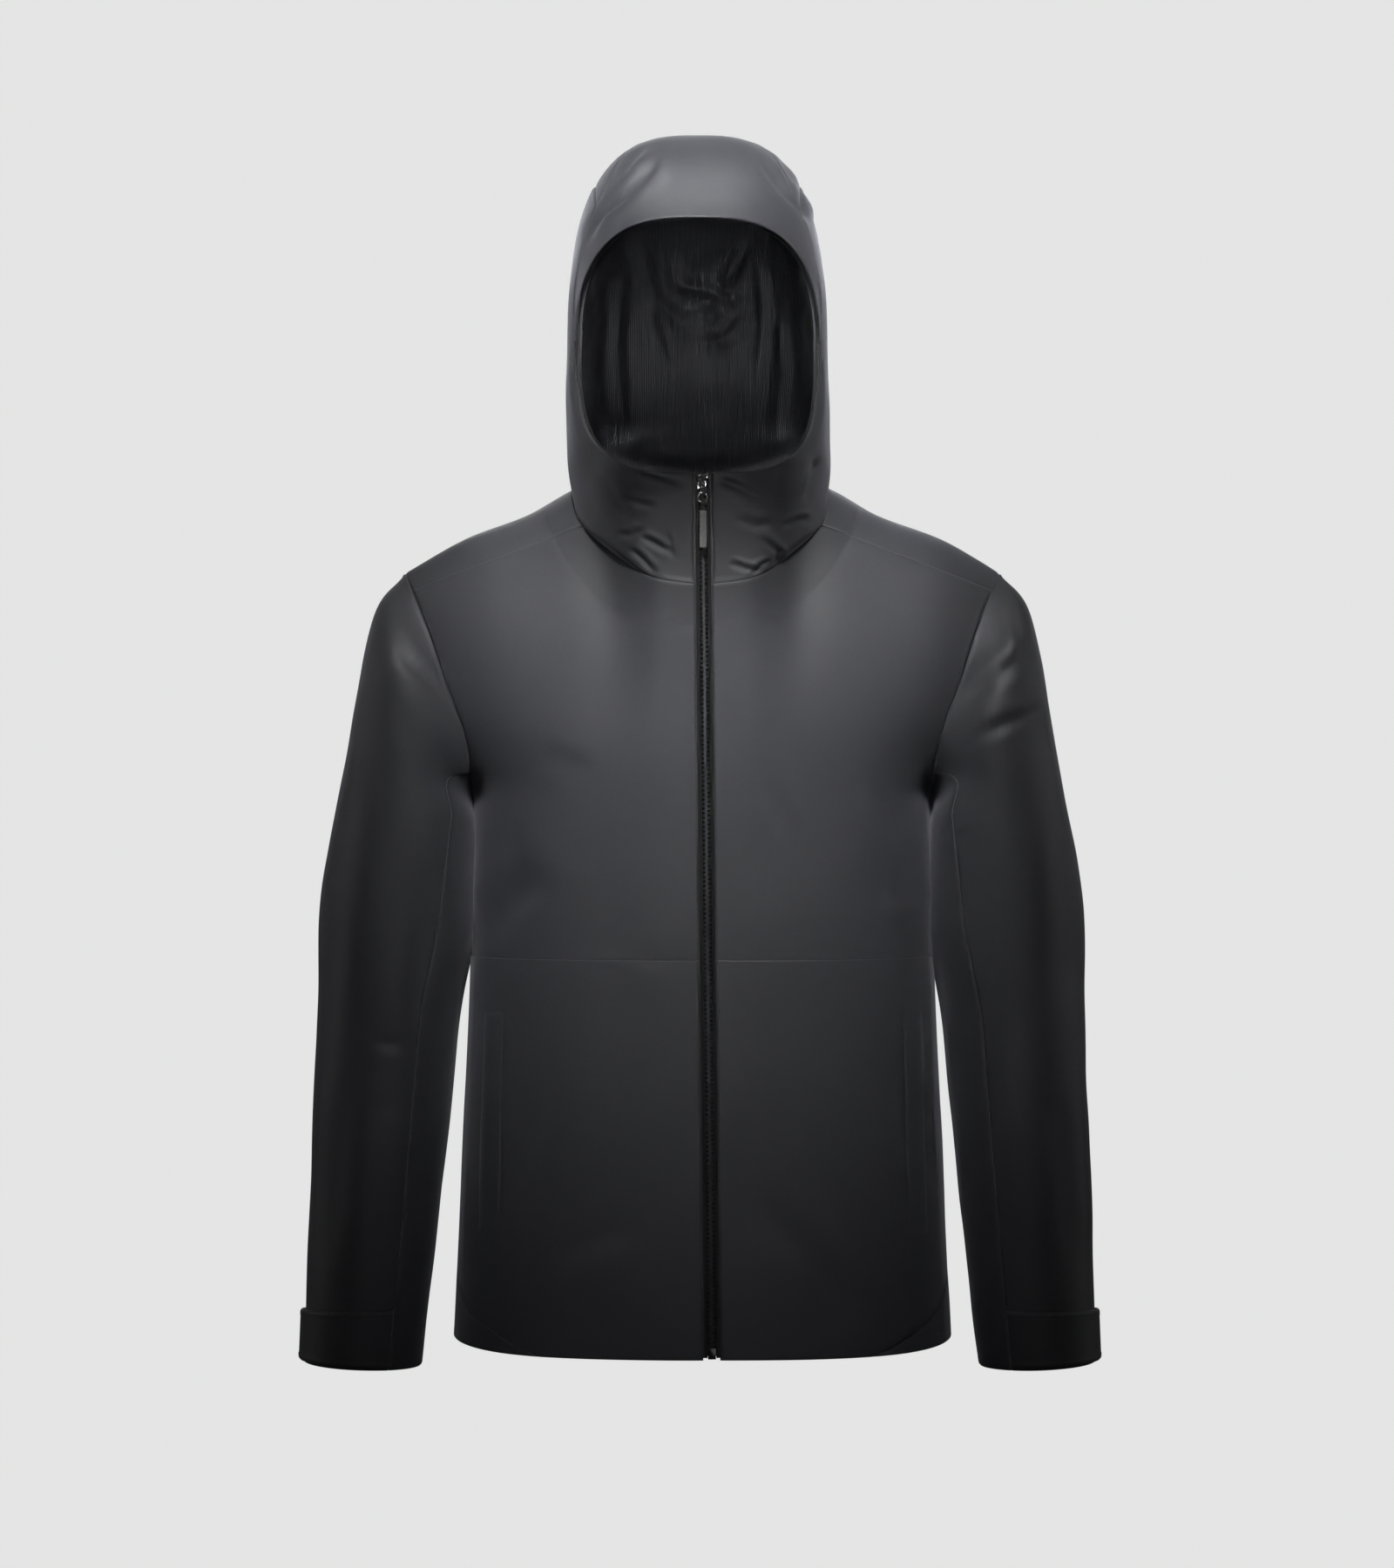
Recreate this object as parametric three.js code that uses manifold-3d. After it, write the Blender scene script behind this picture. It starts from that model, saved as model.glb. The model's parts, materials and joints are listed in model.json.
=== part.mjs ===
// A waterproof hardshell jacket with a fixed hood, closed and filled out as it is when worn.
// Millimetres, +Z up. The chest faces -Y, and the wearer's left is +X.
// The origin is the centre of the nape seam, where the hood meets the back.
import * as THREE from 'three';
import { mergeVertices } from 'three/addons/utils/BufferGeometryUtils.js';
import Module from 'manifold-3d';

const wasm = await Module();
wasm.setup();

// ---- Sizes of the body ----
const hemFrontZ = -711;
const hemSideRise = 5;
const dropTail = 14;
const waistSeamZ = -379;
const armpitZ = -245;
const chinZ = 29;
const neckFrontZ = -66;
const hemHalfWidth = 214;
const chestHalfWidth = 196;
const chestWidening = 84;
const wideningHeight = 75;
const wideningPower = 1.6;
const hemFrontDepth = 125;
const chinFrontDepth = 106;
const backDepth = 112;
const roundness = 2.2;
const frontShoulderFade = 90;
const backShoulderFade = 100;
const fadePower = 0.6;
const zipStrip = 22;
const chestFadeWidth = 40;
const columnEase = 1.3;
const zipDrift = 8;

// ---- Sizes of the shoulders, neck and armholes ----
const neckHalfWidth = 105;
const shoulderHalfWidth = 255;
const shoulderZ = -51;
const yokeNeckX = 101;
const yokeNeckZ = -13;
const yokeArmX = 247;
const yokeArmZ = -66.5;
const backSeamNeckX = 88;
const backSeamNeckZ = 10;
const backSeamArmX = 240;
const backSeamArmZ = -90;

// ---- Sizes of the sleeves and cuffs ----
const cuffZ = -724;
const cuffHalfWidth = 50;
const frontSleeveSeam = [0.11, 0.165];
const backSleeveSeam = [0.89, 0.87];
const tabHeight = 44;
const tabReach = 0.64;
const facingHeight = 34;

// ---- Sizes of the hood ----
const hoodHalfWidth = 112;
const faceHalfWidth = 103;
const brimZ = 240;
const crownZ = 324;
const hoodRoundness = 2.9;
const hoodLean = -4;

// ---- Cloth, seams and trim ----
const cloth = 1.2;
const seamGap = 0.7;
const touchGap = 0.3;
const facingCloth = 0.8;
const cordRadius = 1;
const cordClearance = 0.5;
const channelDepth = 4.4;
const hemFacingHeight = 24;

// ---- The front zip. Its own frame has Z up the zip and -Y out of the chest ----
const chainInner = 0.8;
const chainWidth = 2.5;
const chainFront = 0.2;
const chainThickness = 3.6;
const tapeWidth = 11;
const tapeFront = 1.7;
const tapeThickness = 0.6;
const sliderFlange = 1.9;
const sliderHalfWidth = chainInner + chainWidth + sliderFlange;
const zipOpening = sliderHalfWidth + 1.8;
const sliderHeight = 10;
const sliderClearance = 0.45;
const plateThickness = 1.2;
const archReach = 4.2;
const pullThickness = 1.2;
const ringRadius = 4.15;
const ringBar = 1.7;
const ringDrop = 12.5;
const tabWidth = 6;
const tabLength = 31;
const boxHeight = 9;
const stopHeight = 2.4;

// ---- The pockets ----
const pocketX = [176, 181];
const pocketZ = [-423, -615];
const pocketZipScale = 0.65;
const pocketZipInset = 2.2;
const pocketSlot = 9.2;
const weltWidth = 26;
const pocketTapeEnd = 6;
const pocketTeethFront = 1.05;
const pocketTeethBack = 2.1;
const pocketPlate = 0.75;
const pocketSliderHeight = 8;
const pocketSliderDrop = 12;

const lerp = THREE.MathUtils.lerp;
const point = (x, y, z) => new THREE.Vector3(x, y, z);
const power = (value, exponent) => Math.sign(value) * Math.abs(value) ** exponent;

// A smooth function through [x, value] pairs: cubic pieces whose slopes follow the neighbouring points.
function through(pairs) {
  const slope = (i) => {
    const [a, b] = [pairs[Math.max(i - 1, 0)], pairs[Math.min(i + 1, pairs.length - 1)]];
    return (b[1] - a[1]) / (b[0] - a[0]);
  };
  return (x) => {
    let i = 0;
    while (i < pairs.length - 2 && x > pairs[i + 1][0]) i += 1;
    const [[x0, y0], [x1, y1]] = [pairs[i], pairs[i + 1]];
    const span = x1 - x0;
    const t = THREE.MathUtils.clamp((x - x0) / span, 0, 1);
    const [m0, m1] = [slope(i) * span, slope(i + 1) * span];
    return (2 * t ** 3 - 3 * t ** 2 + 1) * y0 + (t ** 3 - 2 * t ** 2 + t) * m0
      + (3 * t ** 2 - 2 * t ** 3) * y1 + (t ** 3 - t ** 2) * m1;
  };
}

// ---- The torso ----
// q is the angle round the body from the centre line, front or back, to the side at a right angle.
const flared = (share) => lerp(chestHalfWidth, hemHalfWidth, share);
const bodyHalfWidth = through([
  [hemFrontZ, hemHalfWidth], [-649, flared(0.78)], [-532, flared(0.5)], [-400, flared(0.17)],
  [armpitZ, chestHalfWidth],
]);
const ridge = through([
  [0, 46], [neckHalfWidth, 23], [150, -1], [205, -22], [shoulderHalfWidth, shoulderZ],
]);
const armholeX = through([
  [armpitZ, chestHalfWidth], [-195, 200], [-150, 216], [-100, 233], [shoulderZ, shoulderHalfWidth],
]);

const halfWidth = (z) => (z <= armpitZ ? bodyHalfWidth(z)
  : chestHalfWidth + chestWidening
    * (1 - Math.exp(-(((z - armpitZ) / wideningHeight) ** wideningPower))));
const upZip = (z) => (z - hemFrontZ) / (chinZ - hemFrontZ);
const frontDepth = (z) => lerp(hemFrontDepth, chinFrontDepth, upZip(z));
const drift = (z) => zipDrift * Math.max(1 - upZip(z), 0);

function shoulderFade(back, x, z) {
  const below = Math.max(ridge(x) - z, 0);
  const fade = (1 - Math.exp(-below / (back ? backShoulderFade : frontShoulderFade))) ** fadePower;
  const beside = Math.max(x - zipStrip, 0) / chestFadeWidth;
  return back ? fade : 1 - (1 - fade) * (1 - Math.exp(-(beside ** 3)));
}
// The strip beside the zip is flat, so the curve starts at an angle of its own.
const pastStrip = (angle, strip, whole) => Math.max(angle - strip, 0) * whole / (whole - strip);

const angleAt = (x, z) => Math.asin(Math.min(x / halfWidth(z), 1) ** (roundness / 2));
const napeDepth = backDepth * shoulderFade(true, 0, 0);

// A point of the body, front or back, on the side +1 (the wearer's left) or -1.
function body(side, back, q, z) {
  const across = halfWidth(z) * power(Math.sin(q), 2 / roundness);
  const strip = (zipStrip / chestHalfWidth) ** (roundness / 2);
  const turn = back ? q : pastStrip(q, strip, Math.PI / 2);
  const depth = (back ? backDepth : frontDepth(z)) * power(Math.cos(turn), 2 / roundness)
    * shoulderFade(back, across, z);
  const shift = back ? 0 : drift(z) * (1 - across / halfWidth(z));
  return point(side * across + shift, (back ? depth : -depth) - napeDepth, z);
}
const bodyAt = (side, back, x, z) => body(side, back, angleAt(x, z), z);

const hemZ = (back, q) => (back
  ? hemFrontZ - dropTail + (hemSideRise + dropTail) * Math.sin(q) ** 4
  : hemFrontZ + hemSideRise * Math.sin(q) ** 8);

// Four edges, given as functions of [q, z], become a patch whose inside blends them.
function patch(bottom, top, left, right) {
  const corners = [bottom(0), bottom(1), top(0), top(1)];
  return (s, t) => [0, 1].map((i) => (1 - t) * bottom(s)[i] + t * top(s)[i]
    + (1 - s) * left(t)[i] + s * right(t)[i]
    - (1 - t) * ((1 - s) * corners[0][i] + s * corners[1][i])
    - t * ((1 - s) * corners[2][i] + s * corners[3][i]));
}

// ---- Seams that several pieces share ----
const yokeFrontZ = (x) => lerp(yokeNeckZ, yokeArmZ, (x - yokeNeckX) / (yokeArmX - yokeNeckX));
const yokeBackZ = (x) => lerp(backSeamNeckZ, backSeamArmZ,
  (x - backSeamNeckX) / (backSeamArmX - backSeamNeckX));

// Over the shoulder: k runs from the front yoke seam at -1, over the ridge at 0, to the back seam at 1.
function overShoulder(side, x, k) {
  const drop = ridge(x) - (k < 0 ? yokeFrontZ(x) : yokeBackZ(x));
  return bodyAt(side, k > 0, x, ridge(x) - drop * k * k);
}

const neckShare = 0.407;
const ridgeShare = 0.587;
const backSeamShare = 0.709;
const neckFrontX = through([[0, 0], [0.13, 44], [0.276, 77], [neckShare, yokeNeckX]]);
const neckFrontHeight = through([
  [0, neckFrontZ], [0.13, neckFrontZ + 7.5], [0.276, neckFrontZ + 31], [neckShare, yokeNeckZ],
]);
const neckBackX = through([[backSeamShare, backSeamNeckX], [0.855, 48], [1, 0]]);
const neckBackHeight = through([[backSeamShare, backSeamNeckZ], [0.855, 1], [1, 0]]);

// The neck seam, from the zip at 0 round one side to the nape at 1.
function neckSeam(side, share) {
  if (share <= neckShare) return bodyAt(side, false, neckFrontX(share), neckFrontHeight(share));
  if (share >= backSeamShare) return bodyAt(side, true, neckBackX(share), neckBackHeight(share));
  return share < ridgeShare
    ? overShoulder(side, lerp(yokeNeckX, neckHalfWidth, (share - neckShare) / (ridgeShare - neckShare)),
      (share - ridgeShare) / (ridgeShare - neckShare))
    : overShoulder(side, lerp(neckHalfWidth, backSeamNeckX,
      (share - ridgeShare) / (backSeamShare - ridgeShare)),
    (share - ridgeShare) / (backSeamShare - ridgeShare));
}

// The side panel's front edge turns forward near the hem.
const sideSeam = THREE.MathUtils.degToRad(86);
const sideSeamTurn = THREE.MathUtils.degToRad(47);
const sideTurnHeight = 66;
const sideFrontAngle = (z) => sideSeam
  - sideSeamTurn * Math.max((hemFrontZ + sideTurnHeight - z) / sideTurnHeight, 0) ** 1.35;
const sideBackAngle = THREE.MathUtils.degToRad(60);

// The height where the armhole passes an angle round the body, found by halving.
function armholeHeight(angle) {
  let [low, high] = [armpitZ, shoulderZ];
  for (let i = 0; i < 30; i += 1) {
    const middle = (low + high) / 2;
    if (angleAt(armholeX(middle), middle) > angle) low = middle;
    else high = middle;
  }
  return low;
}
// From low to high with a corner at the middle value, reached at the share given.
const bentLine = (low, middle, high, share) => (t) => (t < share
  ? lerp(low, middle, t / share) : lerp(middle, high, (t - share) / (1 - share)));

// ---- The cloth of the torso ----
const mirrored = (side, surface) => (s, t) => surface(side > 0 ? s : 1 - s, t);

// Rows of the grid lie closer together where the corner seam turns.
const cornerTop = hemFrontZ + sideTurnHeight;
const cornerRise = bentLine(hemZ(false, sideFrontAngle(hemFrontZ)), cornerTop, waistSeamZ, 5 / 9);

function frontLower(side) {
  const corner = sideFrontAngle(hemFrontZ);
  const centreRise = bentLine(hemFrontZ, cornerTop, waistSeamZ, 5 / 9);
  const grid = patch(
    (s) => { const q = lerp(angleAt(zipOpening, hemFrontZ), corner, s); return [q, hemZ(false, q)]; },
    (s) => [lerp(angleAt(zipOpening, waistSeamZ), sideSeam, s), waistSeamZ],
    (t) => { const z = centreRise(t); return [angleAt(zipOpening, z), z]; },
    (t) => { const z = cornerRise(t); return [sideFrontAngle(z), z]; },
  );
  return mirrored(side, (s, t) => body(side, false, ...grid(s ** columnEase, t)));
}

function frontChest(side) {
  const neckPart = 0.45;
  const start = 0.02;
  const top = (s) => {
    const share = lerp(start, neckShare, Math.min(s / neckPart, 1));
    const x = s < neckPart ? neckFrontX(share)
      : lerp(yokeNeckX, yokeArmX, (s - neckPart) / (1 - neckPart));
    const z = s < neckPart ? neckFrontHeight(share) : yokeFrontZ(x);
    return [angleAt(x, z), z];
  };
  const edge = bentLine(waistSeamZ, armholeHeight(sideSeam), yokeArmZ, 0.4);
  const grid = patch(
    (s) => [lerp(angleAt(zipOpening, waistSeamZ), sideSeam, s), waistSeamZ],
    top,
    (t) => { const z = lerp(waistSeamZ, top(0)[1], t); return [angleAt(zipOpening, z), z]; },
    (t) => { const z = edge(t); return [Math.min(angleAt(armholeX(z), z), sideSeam), z]; },
  );
  return mirrored(side, (s, t) => body(side, false, ...grid(s ** columnEase, t)));
}

function sidePanel(side) {
  return mirrored(side, (s, t) => {
    const u = (z) => lerp(sideFrontAngle(z), Math.PI - sideBackAngle, s);
    const edge = u(hemFrontZ);
    const back = edge > Math.PI / 2;
    const bottom = hemZ(back, back ? Math.PI - edge : edge);
    const top = armholeHeight(Math.min(u(armpitZ), Math.PI - u(armpitZ)));
    const z = bentLine(bottom, cornerTop, top, 5 / 14)(t);
    const angle = u(z);
    return angle > Math.PI / 2 ? body(side, true, Math.PI - angle, z) : body(side, false, angle, z);
  });
}

function backPanel() {
  const neckPart = 0.32;
  const toNeck = (s) => {
    if (s > 0.5 - neckPart / 2) {
      const share = lerp(1, backSeamShare, (0.5 - s) / (neckPart / 2));
      return [neckBackX(share), neckBackHeight(share)];
    }
    const x = lerp(backSeamArmX, backSeamNeckX, s / (0.5 - neckPart / 2));
    return [x, yokeBackZ(x)];
  };
  const top = (s) => {
    const [x, z] = toNeck(Math.min(s, 1 - s));
    return [(s < 0.5 ? 1 : -1) * angleAt(x, z), z];
  };
  const height = bentLine(hemZ(true, sideBackAngle), armholeHeight(sideBackAngle), backSeamArmZ, 8 / 12);
  const edge = (sign) => (t) => {
    const z = height(t);
    return [sign * Math.min(angleAt(armholeX(z), z), sideBackAngle), z];
  };
  const grid = patch(
    (s) => { const q = lerp(sideBackAngle, -sideBackAngle, s); return [q, hemZ(true, Math.abs(q))]; },
    top, edge(1), edge(-1),
  );
  return (s, t) => {
    const [q, z] = grid(s, t);
    return body(Math.sign(q) || 1, true, Math.abs(q), z);
  };
}

function shoulderYoke(side) {
  return mirrored(side, (s, t) => {
    const k = 2 * t - 1;
    const inner = k < 0 ? lerp(neckHalfWidth, yokeNeckX, -k) : lerp(neckHalfWidth, backSeamNeckX, k);
    const outer = armholeX(lerp(shoulderZ, k < 0 ? yokeArmZ : backSeamArmZ, k * k));
    return overShoulder(side, lerp(inner, outer, s), k);
  });
}

// ---- The sleeves ----
// around is 0 at the armpit and the inside of the arm, 0.25 in front, 0.5 outside and 0.75 behind.
function armhole(side, around) {
  const z = lerp(armpitZ, shoulderZ, (1 - Math.cos(2 * Math.PI * around)) / 2);
  return bodyAt(side, around > 0.5, armholeX(z), z);
}

// Rings down the arm: the room between body and sleeve, then y, z, the way to the ring's outer side
// in x and z, and half its depth.
const sleeveRings = [
  [8, -3, -170, 39, 82, 74],
  [6, -4, -235, 50, 40, 74],
  [4.5, -6, -330, 61, 14, 72],
  [7.4, -12, -430, 60, 8, 68],
  [12.4, -25, -545, 56, 6, 61],
  [22, -42, cuffZ, cuffHalfWidth, 2, 50],
];
const armSwing = { left: -1, right: 3 };
const bodyEdge = (z) => bodyHalfWidth(THREE.MathUtils.clamp(z, hemFrontZ, armpitZ));

function sleeve(side, around, down) {
  const turn = 2 * Math.PI * around;
  const swing = side > 0 ? armSwing.left : armSwing.right;
  const rings = sleeveRings.map(([room, y, z, outX, outZ, depth], i) => point(
    side * (bodyEdge(z) + room + outX + swing * i / (sleeveRings.length - 1) - outX * Math.cos(turn)),
    y - napeDepth - depth * Math.sin(turn),
    z - outZ * Math.cos(turn),
  ));
  const line = [armhole(side, ((around % 1) + 1) % 1), ...rings];
  return new THREE.CatmullRomCurve3(line, false, 'catmullrom', 0.5).getPoint(down);
}

const seamAround = ([top, bottom], down) => lerp(top, bottom, Math.min(down * 1.6, 1));
const sleeveOuter = (side) => mirrored(side, (s, t) => sleeve(side,
  lerp(seamAround(frontSleeveSeam, 1 - t), seamAround(backSleeveSeam, 1 - t), s), 1 - t));
const sleeveUnder = (side) => mirrored(side, (s, t) => sleeve(side,
  lerp(seamAround(backSleeveSeam, 1 - t) - 1, seamAround(frontSleeveSeam, 1 - t), s), 1 - t));

const lastRing = 1 - 1 / 6;
const perHeight = (1 - lastRing) / (sleeveRings[4][2] - cuffZ);
const cuffBand = (side, from, to, low, high) => mirrored(side, (s, t) => sleeve(side,
  lerp(from, to, s), 1 - perHeight * lerp(low, high(s), t)));

// ---- The hood ----
// round is 0 at the zip and 1 at the nape, crown or brim; up is 0 at the neck seam, 1 at the face's edge.
const backProfileY = through([
  [0, napeDepth], [0.15, 92], [0.32, 106], [0.5, 92], [0.65, 50], [0.78, -12], [0.9, -72], [1, -113],
]);
const backProfileZ = through([
  [0, 0], [0.15, 60], [0.32, 140], [0.5, 235], [0.65, 300], [0.78, crownZ], [0.9, 294], [1, brimZ],
]);
const hoodWidth = through([
  [0, neckHalfWidth], [0.3, 110], [0.6, hoodHalfWidth], [0.85, 110], [1, faceHalfWidth],
]);
const sideDip = through([[0, 57], [0.25, 12], [0.5, -22], [0.75, -40], [1, -49]]);

function hoodRing(side, round, up) {
  const turn = Math.PI * round;
  const chin = [-frontDepth(lerp(neckFrontZ, chinZ, up)), lerp(neckFrontZ, chinZ, up)];
  const back = [backProfileY(up), backProfileZ(up)];
  const half = [(back[0] - chin[0]) / 2, (back[1] - chin[1]) / 2];
  const length = Math.hypot(...half);
  const strip = (zipStrip / neckHalfWidth) ** (hoodRoundness / 2);
  const settled = pastStrip(turn, strip, Math.PI);
  const along = 1 - power(Math.cos(settled), 2 / hoodRoundness);
  const dip = sideDip(up) * Math.sin(settled) ** 2 / length;
  const across = hoodWidth(up) * power(Math.sin(turn), 2 / hoodRoundness);
  const z = chin[1] + half[1] * along + half[0] * dip;
  const lean = hoodLean * up * (2 - up) * Math.sin(Math.min(turn, Math.PI / 2)) ** 2;
  return point(
    side * across + lean + drift(z) * (1 - across / hoodWidth(up)),
    chin[0] + half[0] * along - half[1] * dip - napeDepth,
    z,
  );
}

function hood(side, round, up) {
  const miss = neckSeam(side, round).sub(hoodRing(side, round, 0));
  return hoodRing(side, round, up).addScaledVector(miss, (1 - up) ** 3);
}

const hoodEdgeRound = (up) => Math.asin((zipOpening / hoodWidth(up)) ** (hoodRoundness / 2)) / Math.PI;
const crownSeam = through([[0, 0.84], [0.4, 0.78], [0.8, 0.75], [1, 0.745]]);
const brimSeam = through([[0.44, 1], [0.52, 0.965], [0.62, 0.94], [0.775, 0.89], [0.91, 0.77], [1, 0.745]]);
const brimEnd = 0.52;

const hoodSide = (side) => mirrored(side, (s, t) => {
  let round = 0;
  let up = t;
  for (let i = 0; i < 4; i += 1) {
    round = lerp(Math.max(hoodEdgeRound(up), 0.012), crownSeam(up), s ** columnEase);
    up = t * (round < 0.44 ? 1 : brimSeam(round));
  }
  return hood(side, round, up);
});
const overTop = (end, share) => {
  const a = 2 * share - 1;
  return [a < 0 ? -1 : 1, 1 - (1 - end) * Math.abs(a)];
};
const hoodCrown = () => (s, t) => {
  const [side, first] = overTop(crownSeam(0), 1 - s);
  let up = t;
  let round = first;
  for (let i = 0; i < 4; i += 1) {
    [, round] = overTop(crownSeam(up), 1 - s);
    up = t * brimSeam(round);
  }
  return hood(side, round, up);
};
const hoodBrim = () => (s, t) => {
  const [side, round] = overTop(brimEnd, 1 - s);
  return hood(side, round, lerp(brimSeam(round), 1, t));
};
const faceEdge = (low, high) => (s, t) => {
  const [side, round] = overTop(0.035, 1 - s);
  return hood(side, round, lerp(low, high, t));
};

// ---- Making solids ----
function normalAt(surface, s, t) {
  const step = 0.004;
  const [s0, s1] = [Math.max(s - step, 0), Math.min(s + step, 1)];
  const [t0, t1] = [Math.max(t - step, 0), Math.min(t + step, 1)];
  const alongS = surface(s1, t).sub(surface(s0, t));
  const alongT = surface(s, t1).sub(surface(s, t0));
  return alongS.cross(alongT).normalize();
}

// Cloth: a box cut into columns and rows and bent so that its outer face lies lift outside the surface.
function sewn(surface, columns, rows, { thickness = cloth, lift = 0, gap = seamGap } = {}) {
  const box = new THREE.BoxGeometry(1, 1, 1, columns, rows, 1);
  box.deleteAttribute('normal');
  box.deleteAttribute('uv');
  const geometry = mergeVertices(box);
  const middle = surface(0.5, 0.5);
  const wide = surface(0.02, 0.5).distanceTo(middle) + middle.distanceTo(surface(0.98, 0.5));
  const high = surface(0.5, 0.02).distanceTo(surface(0.5, 0.98));
  const place = geometry.attributes.position;
  for (let i = 0; i < place.count; i += 1) {
    const s = lerp(gap / wide, 1 - gap / wide, place.getX(i) + 0.5);
    const t = lerp(gap / high, 1 - gap / high, place.getY(i) + 0.5);
    const depth = lift + (place.getZ(i) - 0.5) * thickness;
    const p = surface(s, t).addScaledVector(normalAt(surface, s, t), depth);
    place.setXYZ(i, p.x, p.y, p.z);
  }
  return geometry;
}

function asSolid(geometry) {
  const bare = geometry.index ? geometry.toNonIndexed() : geometry.clone();
  const corners = new THREE.BufferGeometry().setAttribute('position', bare.attributes.position);
  const whole = mergeVertices(corners, 1e-3);
  return new wasm.Manifold(new wasm.Mesh({
    numProp: 3,
    vertProperties: whole.attributes.position.array,
    triVerts: new Uint32Array(whole.index.array),
  }));
}

function asGeometry(solid) {
  const mesh = solid.getMesh();
  return new THREE.BufferGeometry()
    .setAttribute('position', new THREE.BufferAttribute(new Float32Array(mesh.vertProperties), 3))
    .setIndex(new THREE.BufferAttribute(new Uint32Array(mesh.triVerts), 1));
}

const joined = (...pieces) => asGeometry(pieces.map(asSolid).reduce((whole, next) => whole.add(next)));
const cut = (piece, ...tools) => asGeometry(tools.map(asSolid)
  .reduce((whole, tool) => whole.subtract(tool), asSolid(piece)));

// A box between two values on each axis.
const slab = ([x0, x1], [y0, y1], [z0, z1]) => new THREE.BoxGeometry(x1 - x0, y1 - y0, z1 - z0)
  .translate((x0 + x1) / 2, (y0 + y1) / 2, (z0 + z1) / 2);

// A shape drawn in X and Z, made thick along Y round the plane y.
const plate = (shape, y, thickness, curveSegments = 10) => new THREE.ExtrudeGeometry(
  shape, { depth: thickness, bevelEnabled: false, curveSegments },
).rotateX(Math.PI / 2).translate(0, y + thickness / 2, 0);

function cordAlong(points, radius, steps) {
  const section = new THREE.Shape().absarc(0, 0, radius, 0, 2 * Math.PI);
  const route = new THREE.CatmullRomCurve3(points);
  return new THREE.ExtrudeGeometry(section, {
    steps, curveSegments: 3, extrudePath: route, bevelEnabled: false,
  });
}

const finishes = {
  shell: [0x222326, 0.72, 0],
  trim: [0x1b1c1e, 0.8, 0],
  moulded: [0x0b0b0c, 0.32, 0],
  webbing: [0x2a2b2e, 0.85, 0],
};
const materials = {};
Object.entries(finishes).forEach(([name, [color, roughness, metalness]]) => {
  materials[name] = new THREE.MeshStandardMaterial({ name, color, roughness, metalness });
});

const jacket = new THREE.Group();
function add(name, geometry, finish, parent = jacket) {
  const mesh = new THREE.Mesh(geometry, materials[finish]);
  mesh.name = name;
  parent.add(mesh);
  return mesh;
}

// ---- The front zip ----
const zipFoot = body(1, false, 0, hemFrontZ);
const zipHead = body(1, false, 0, chinZ);
const zipLength = zipFoot.distanceTo(zipHead);

function alongLine(foot, head, outward) {
  const group = new THREE.Group();
  const up = head.clone().sub(foot).normalize();
  const across = up.clone().cross(outward).normalize();
  const inward = up.clone().cross(across);
  group.setRotationFromMatrix(new THREE.Matrix4().makeBasis(across, inward, up));
  group.position.copy(foot);
  jacket.add(group);
  return group;
}
const zip = alongLine(zipFoot, zipHead, point(0, -1, 0));

const chainEnd = chainInner + chainWidth;
const chainBack = chainFront + chainThickness;
const tapeStart = chainEnd + touchGap;
const tapeBack = tapeFront + tapeThickness;
const sides = [['left', 1], ['right', -1]];
const span = (side, near, far) => (side > 0 ? [near, far] : [-far, -near]);

// The slider: two plates joined by a post that runs in the gap between the two rows of teeth.
function sliderBody() {
  const halfHeight = sliderHeight / 2;
  const outline = new THREE.Shape()
    .moveTo(-sliderHalfWidth, halfHeight - 1.5)
    .lineTo(-sliderHalfWidth + 1.5, halfHeight)
    .lineTo(sliderHalfWidth - 1.5, halfHeight)
    .lineTo(sliderHalfWidth, halfHeight - 1.5)
    .lineTo(sliderHalfWidth - 0.7, -halfHeight)
    .lineTo(-sliderHalfWidth + 0.7, -halfHeight);
  const frontY = chainFront - sliderClearance;
  const backY = chainBack + sliderClearance;
  const postHalf = chainInner - sliderClearance + 0.05;
  const flangeStart = chainEnd + sliderClearance;
  const flangeEnd = sliderHalfWidth - 0.8;
  const flangeHeight = [-halfHeight + 0.4, halfHeight - 2];
  const flanges = sides.flatMap(([, side]) => {
    const wide = span(side, flangeStart, flangeEnd);
    return [
      slab(wide, [frontY - 0.2, tapeFront - sliderClearance], flangeHeight),
      slab(wide, [tapeBack + sliderClearance, backY + 0.2], flangeHeight),
    ];
  });
  const arch = new THREE.Shape()
    .moveTo(-3.3, 0.3).lineTo(-3.3, -archReach + 1.6)
    .quadraticCurveTo(-3.3, -archReach, -1.7, -archReach)
    .lineTo(1.7, -archReach)
    .quadraticCurveTo(3.3, -archReach, 3.3, -archReach + 1.6)
    .lineTo(3.3, 0.3);
  const archWindow = new THREE.Shape().moveTo(-2.1, -0.02).lineTo(2.1, -0.02)
    .lineTo(2.1, 1.1 - archReach).lineTo(-2.1, 1.1 - archReach);
  arch.holes.push(archWindow);
  const archHalfWidth = 1;
  const archDepth = { depth: 2 * archHalfWidth, bevelEnabled: false, curveSegments: 4 };
  const archSolid = new THREE.ExtrudeGeometry(arch, archDepth)
    .translate(0, 0, -archHalfWidth).rotateY(-Math.PI / 2)
    .translate(0, frontY - plateThickness, 0);
  return joined(
    plate(outline, frontY - plateThickness / 2, plateThickness),
    plate(outline, backY + plateThickness / 2, plateThickness),
    slab([-postHalf, postHalf], [frontY - 0.2, backY + 0.2], [halfHeight - 3.4, halfHeight - 0.6]),
    archSolid,
    ...flanges,
  );
}
const pinY = chainFront - sliderClearance - plateThickness - (archReach - 1.1) / 2;

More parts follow.
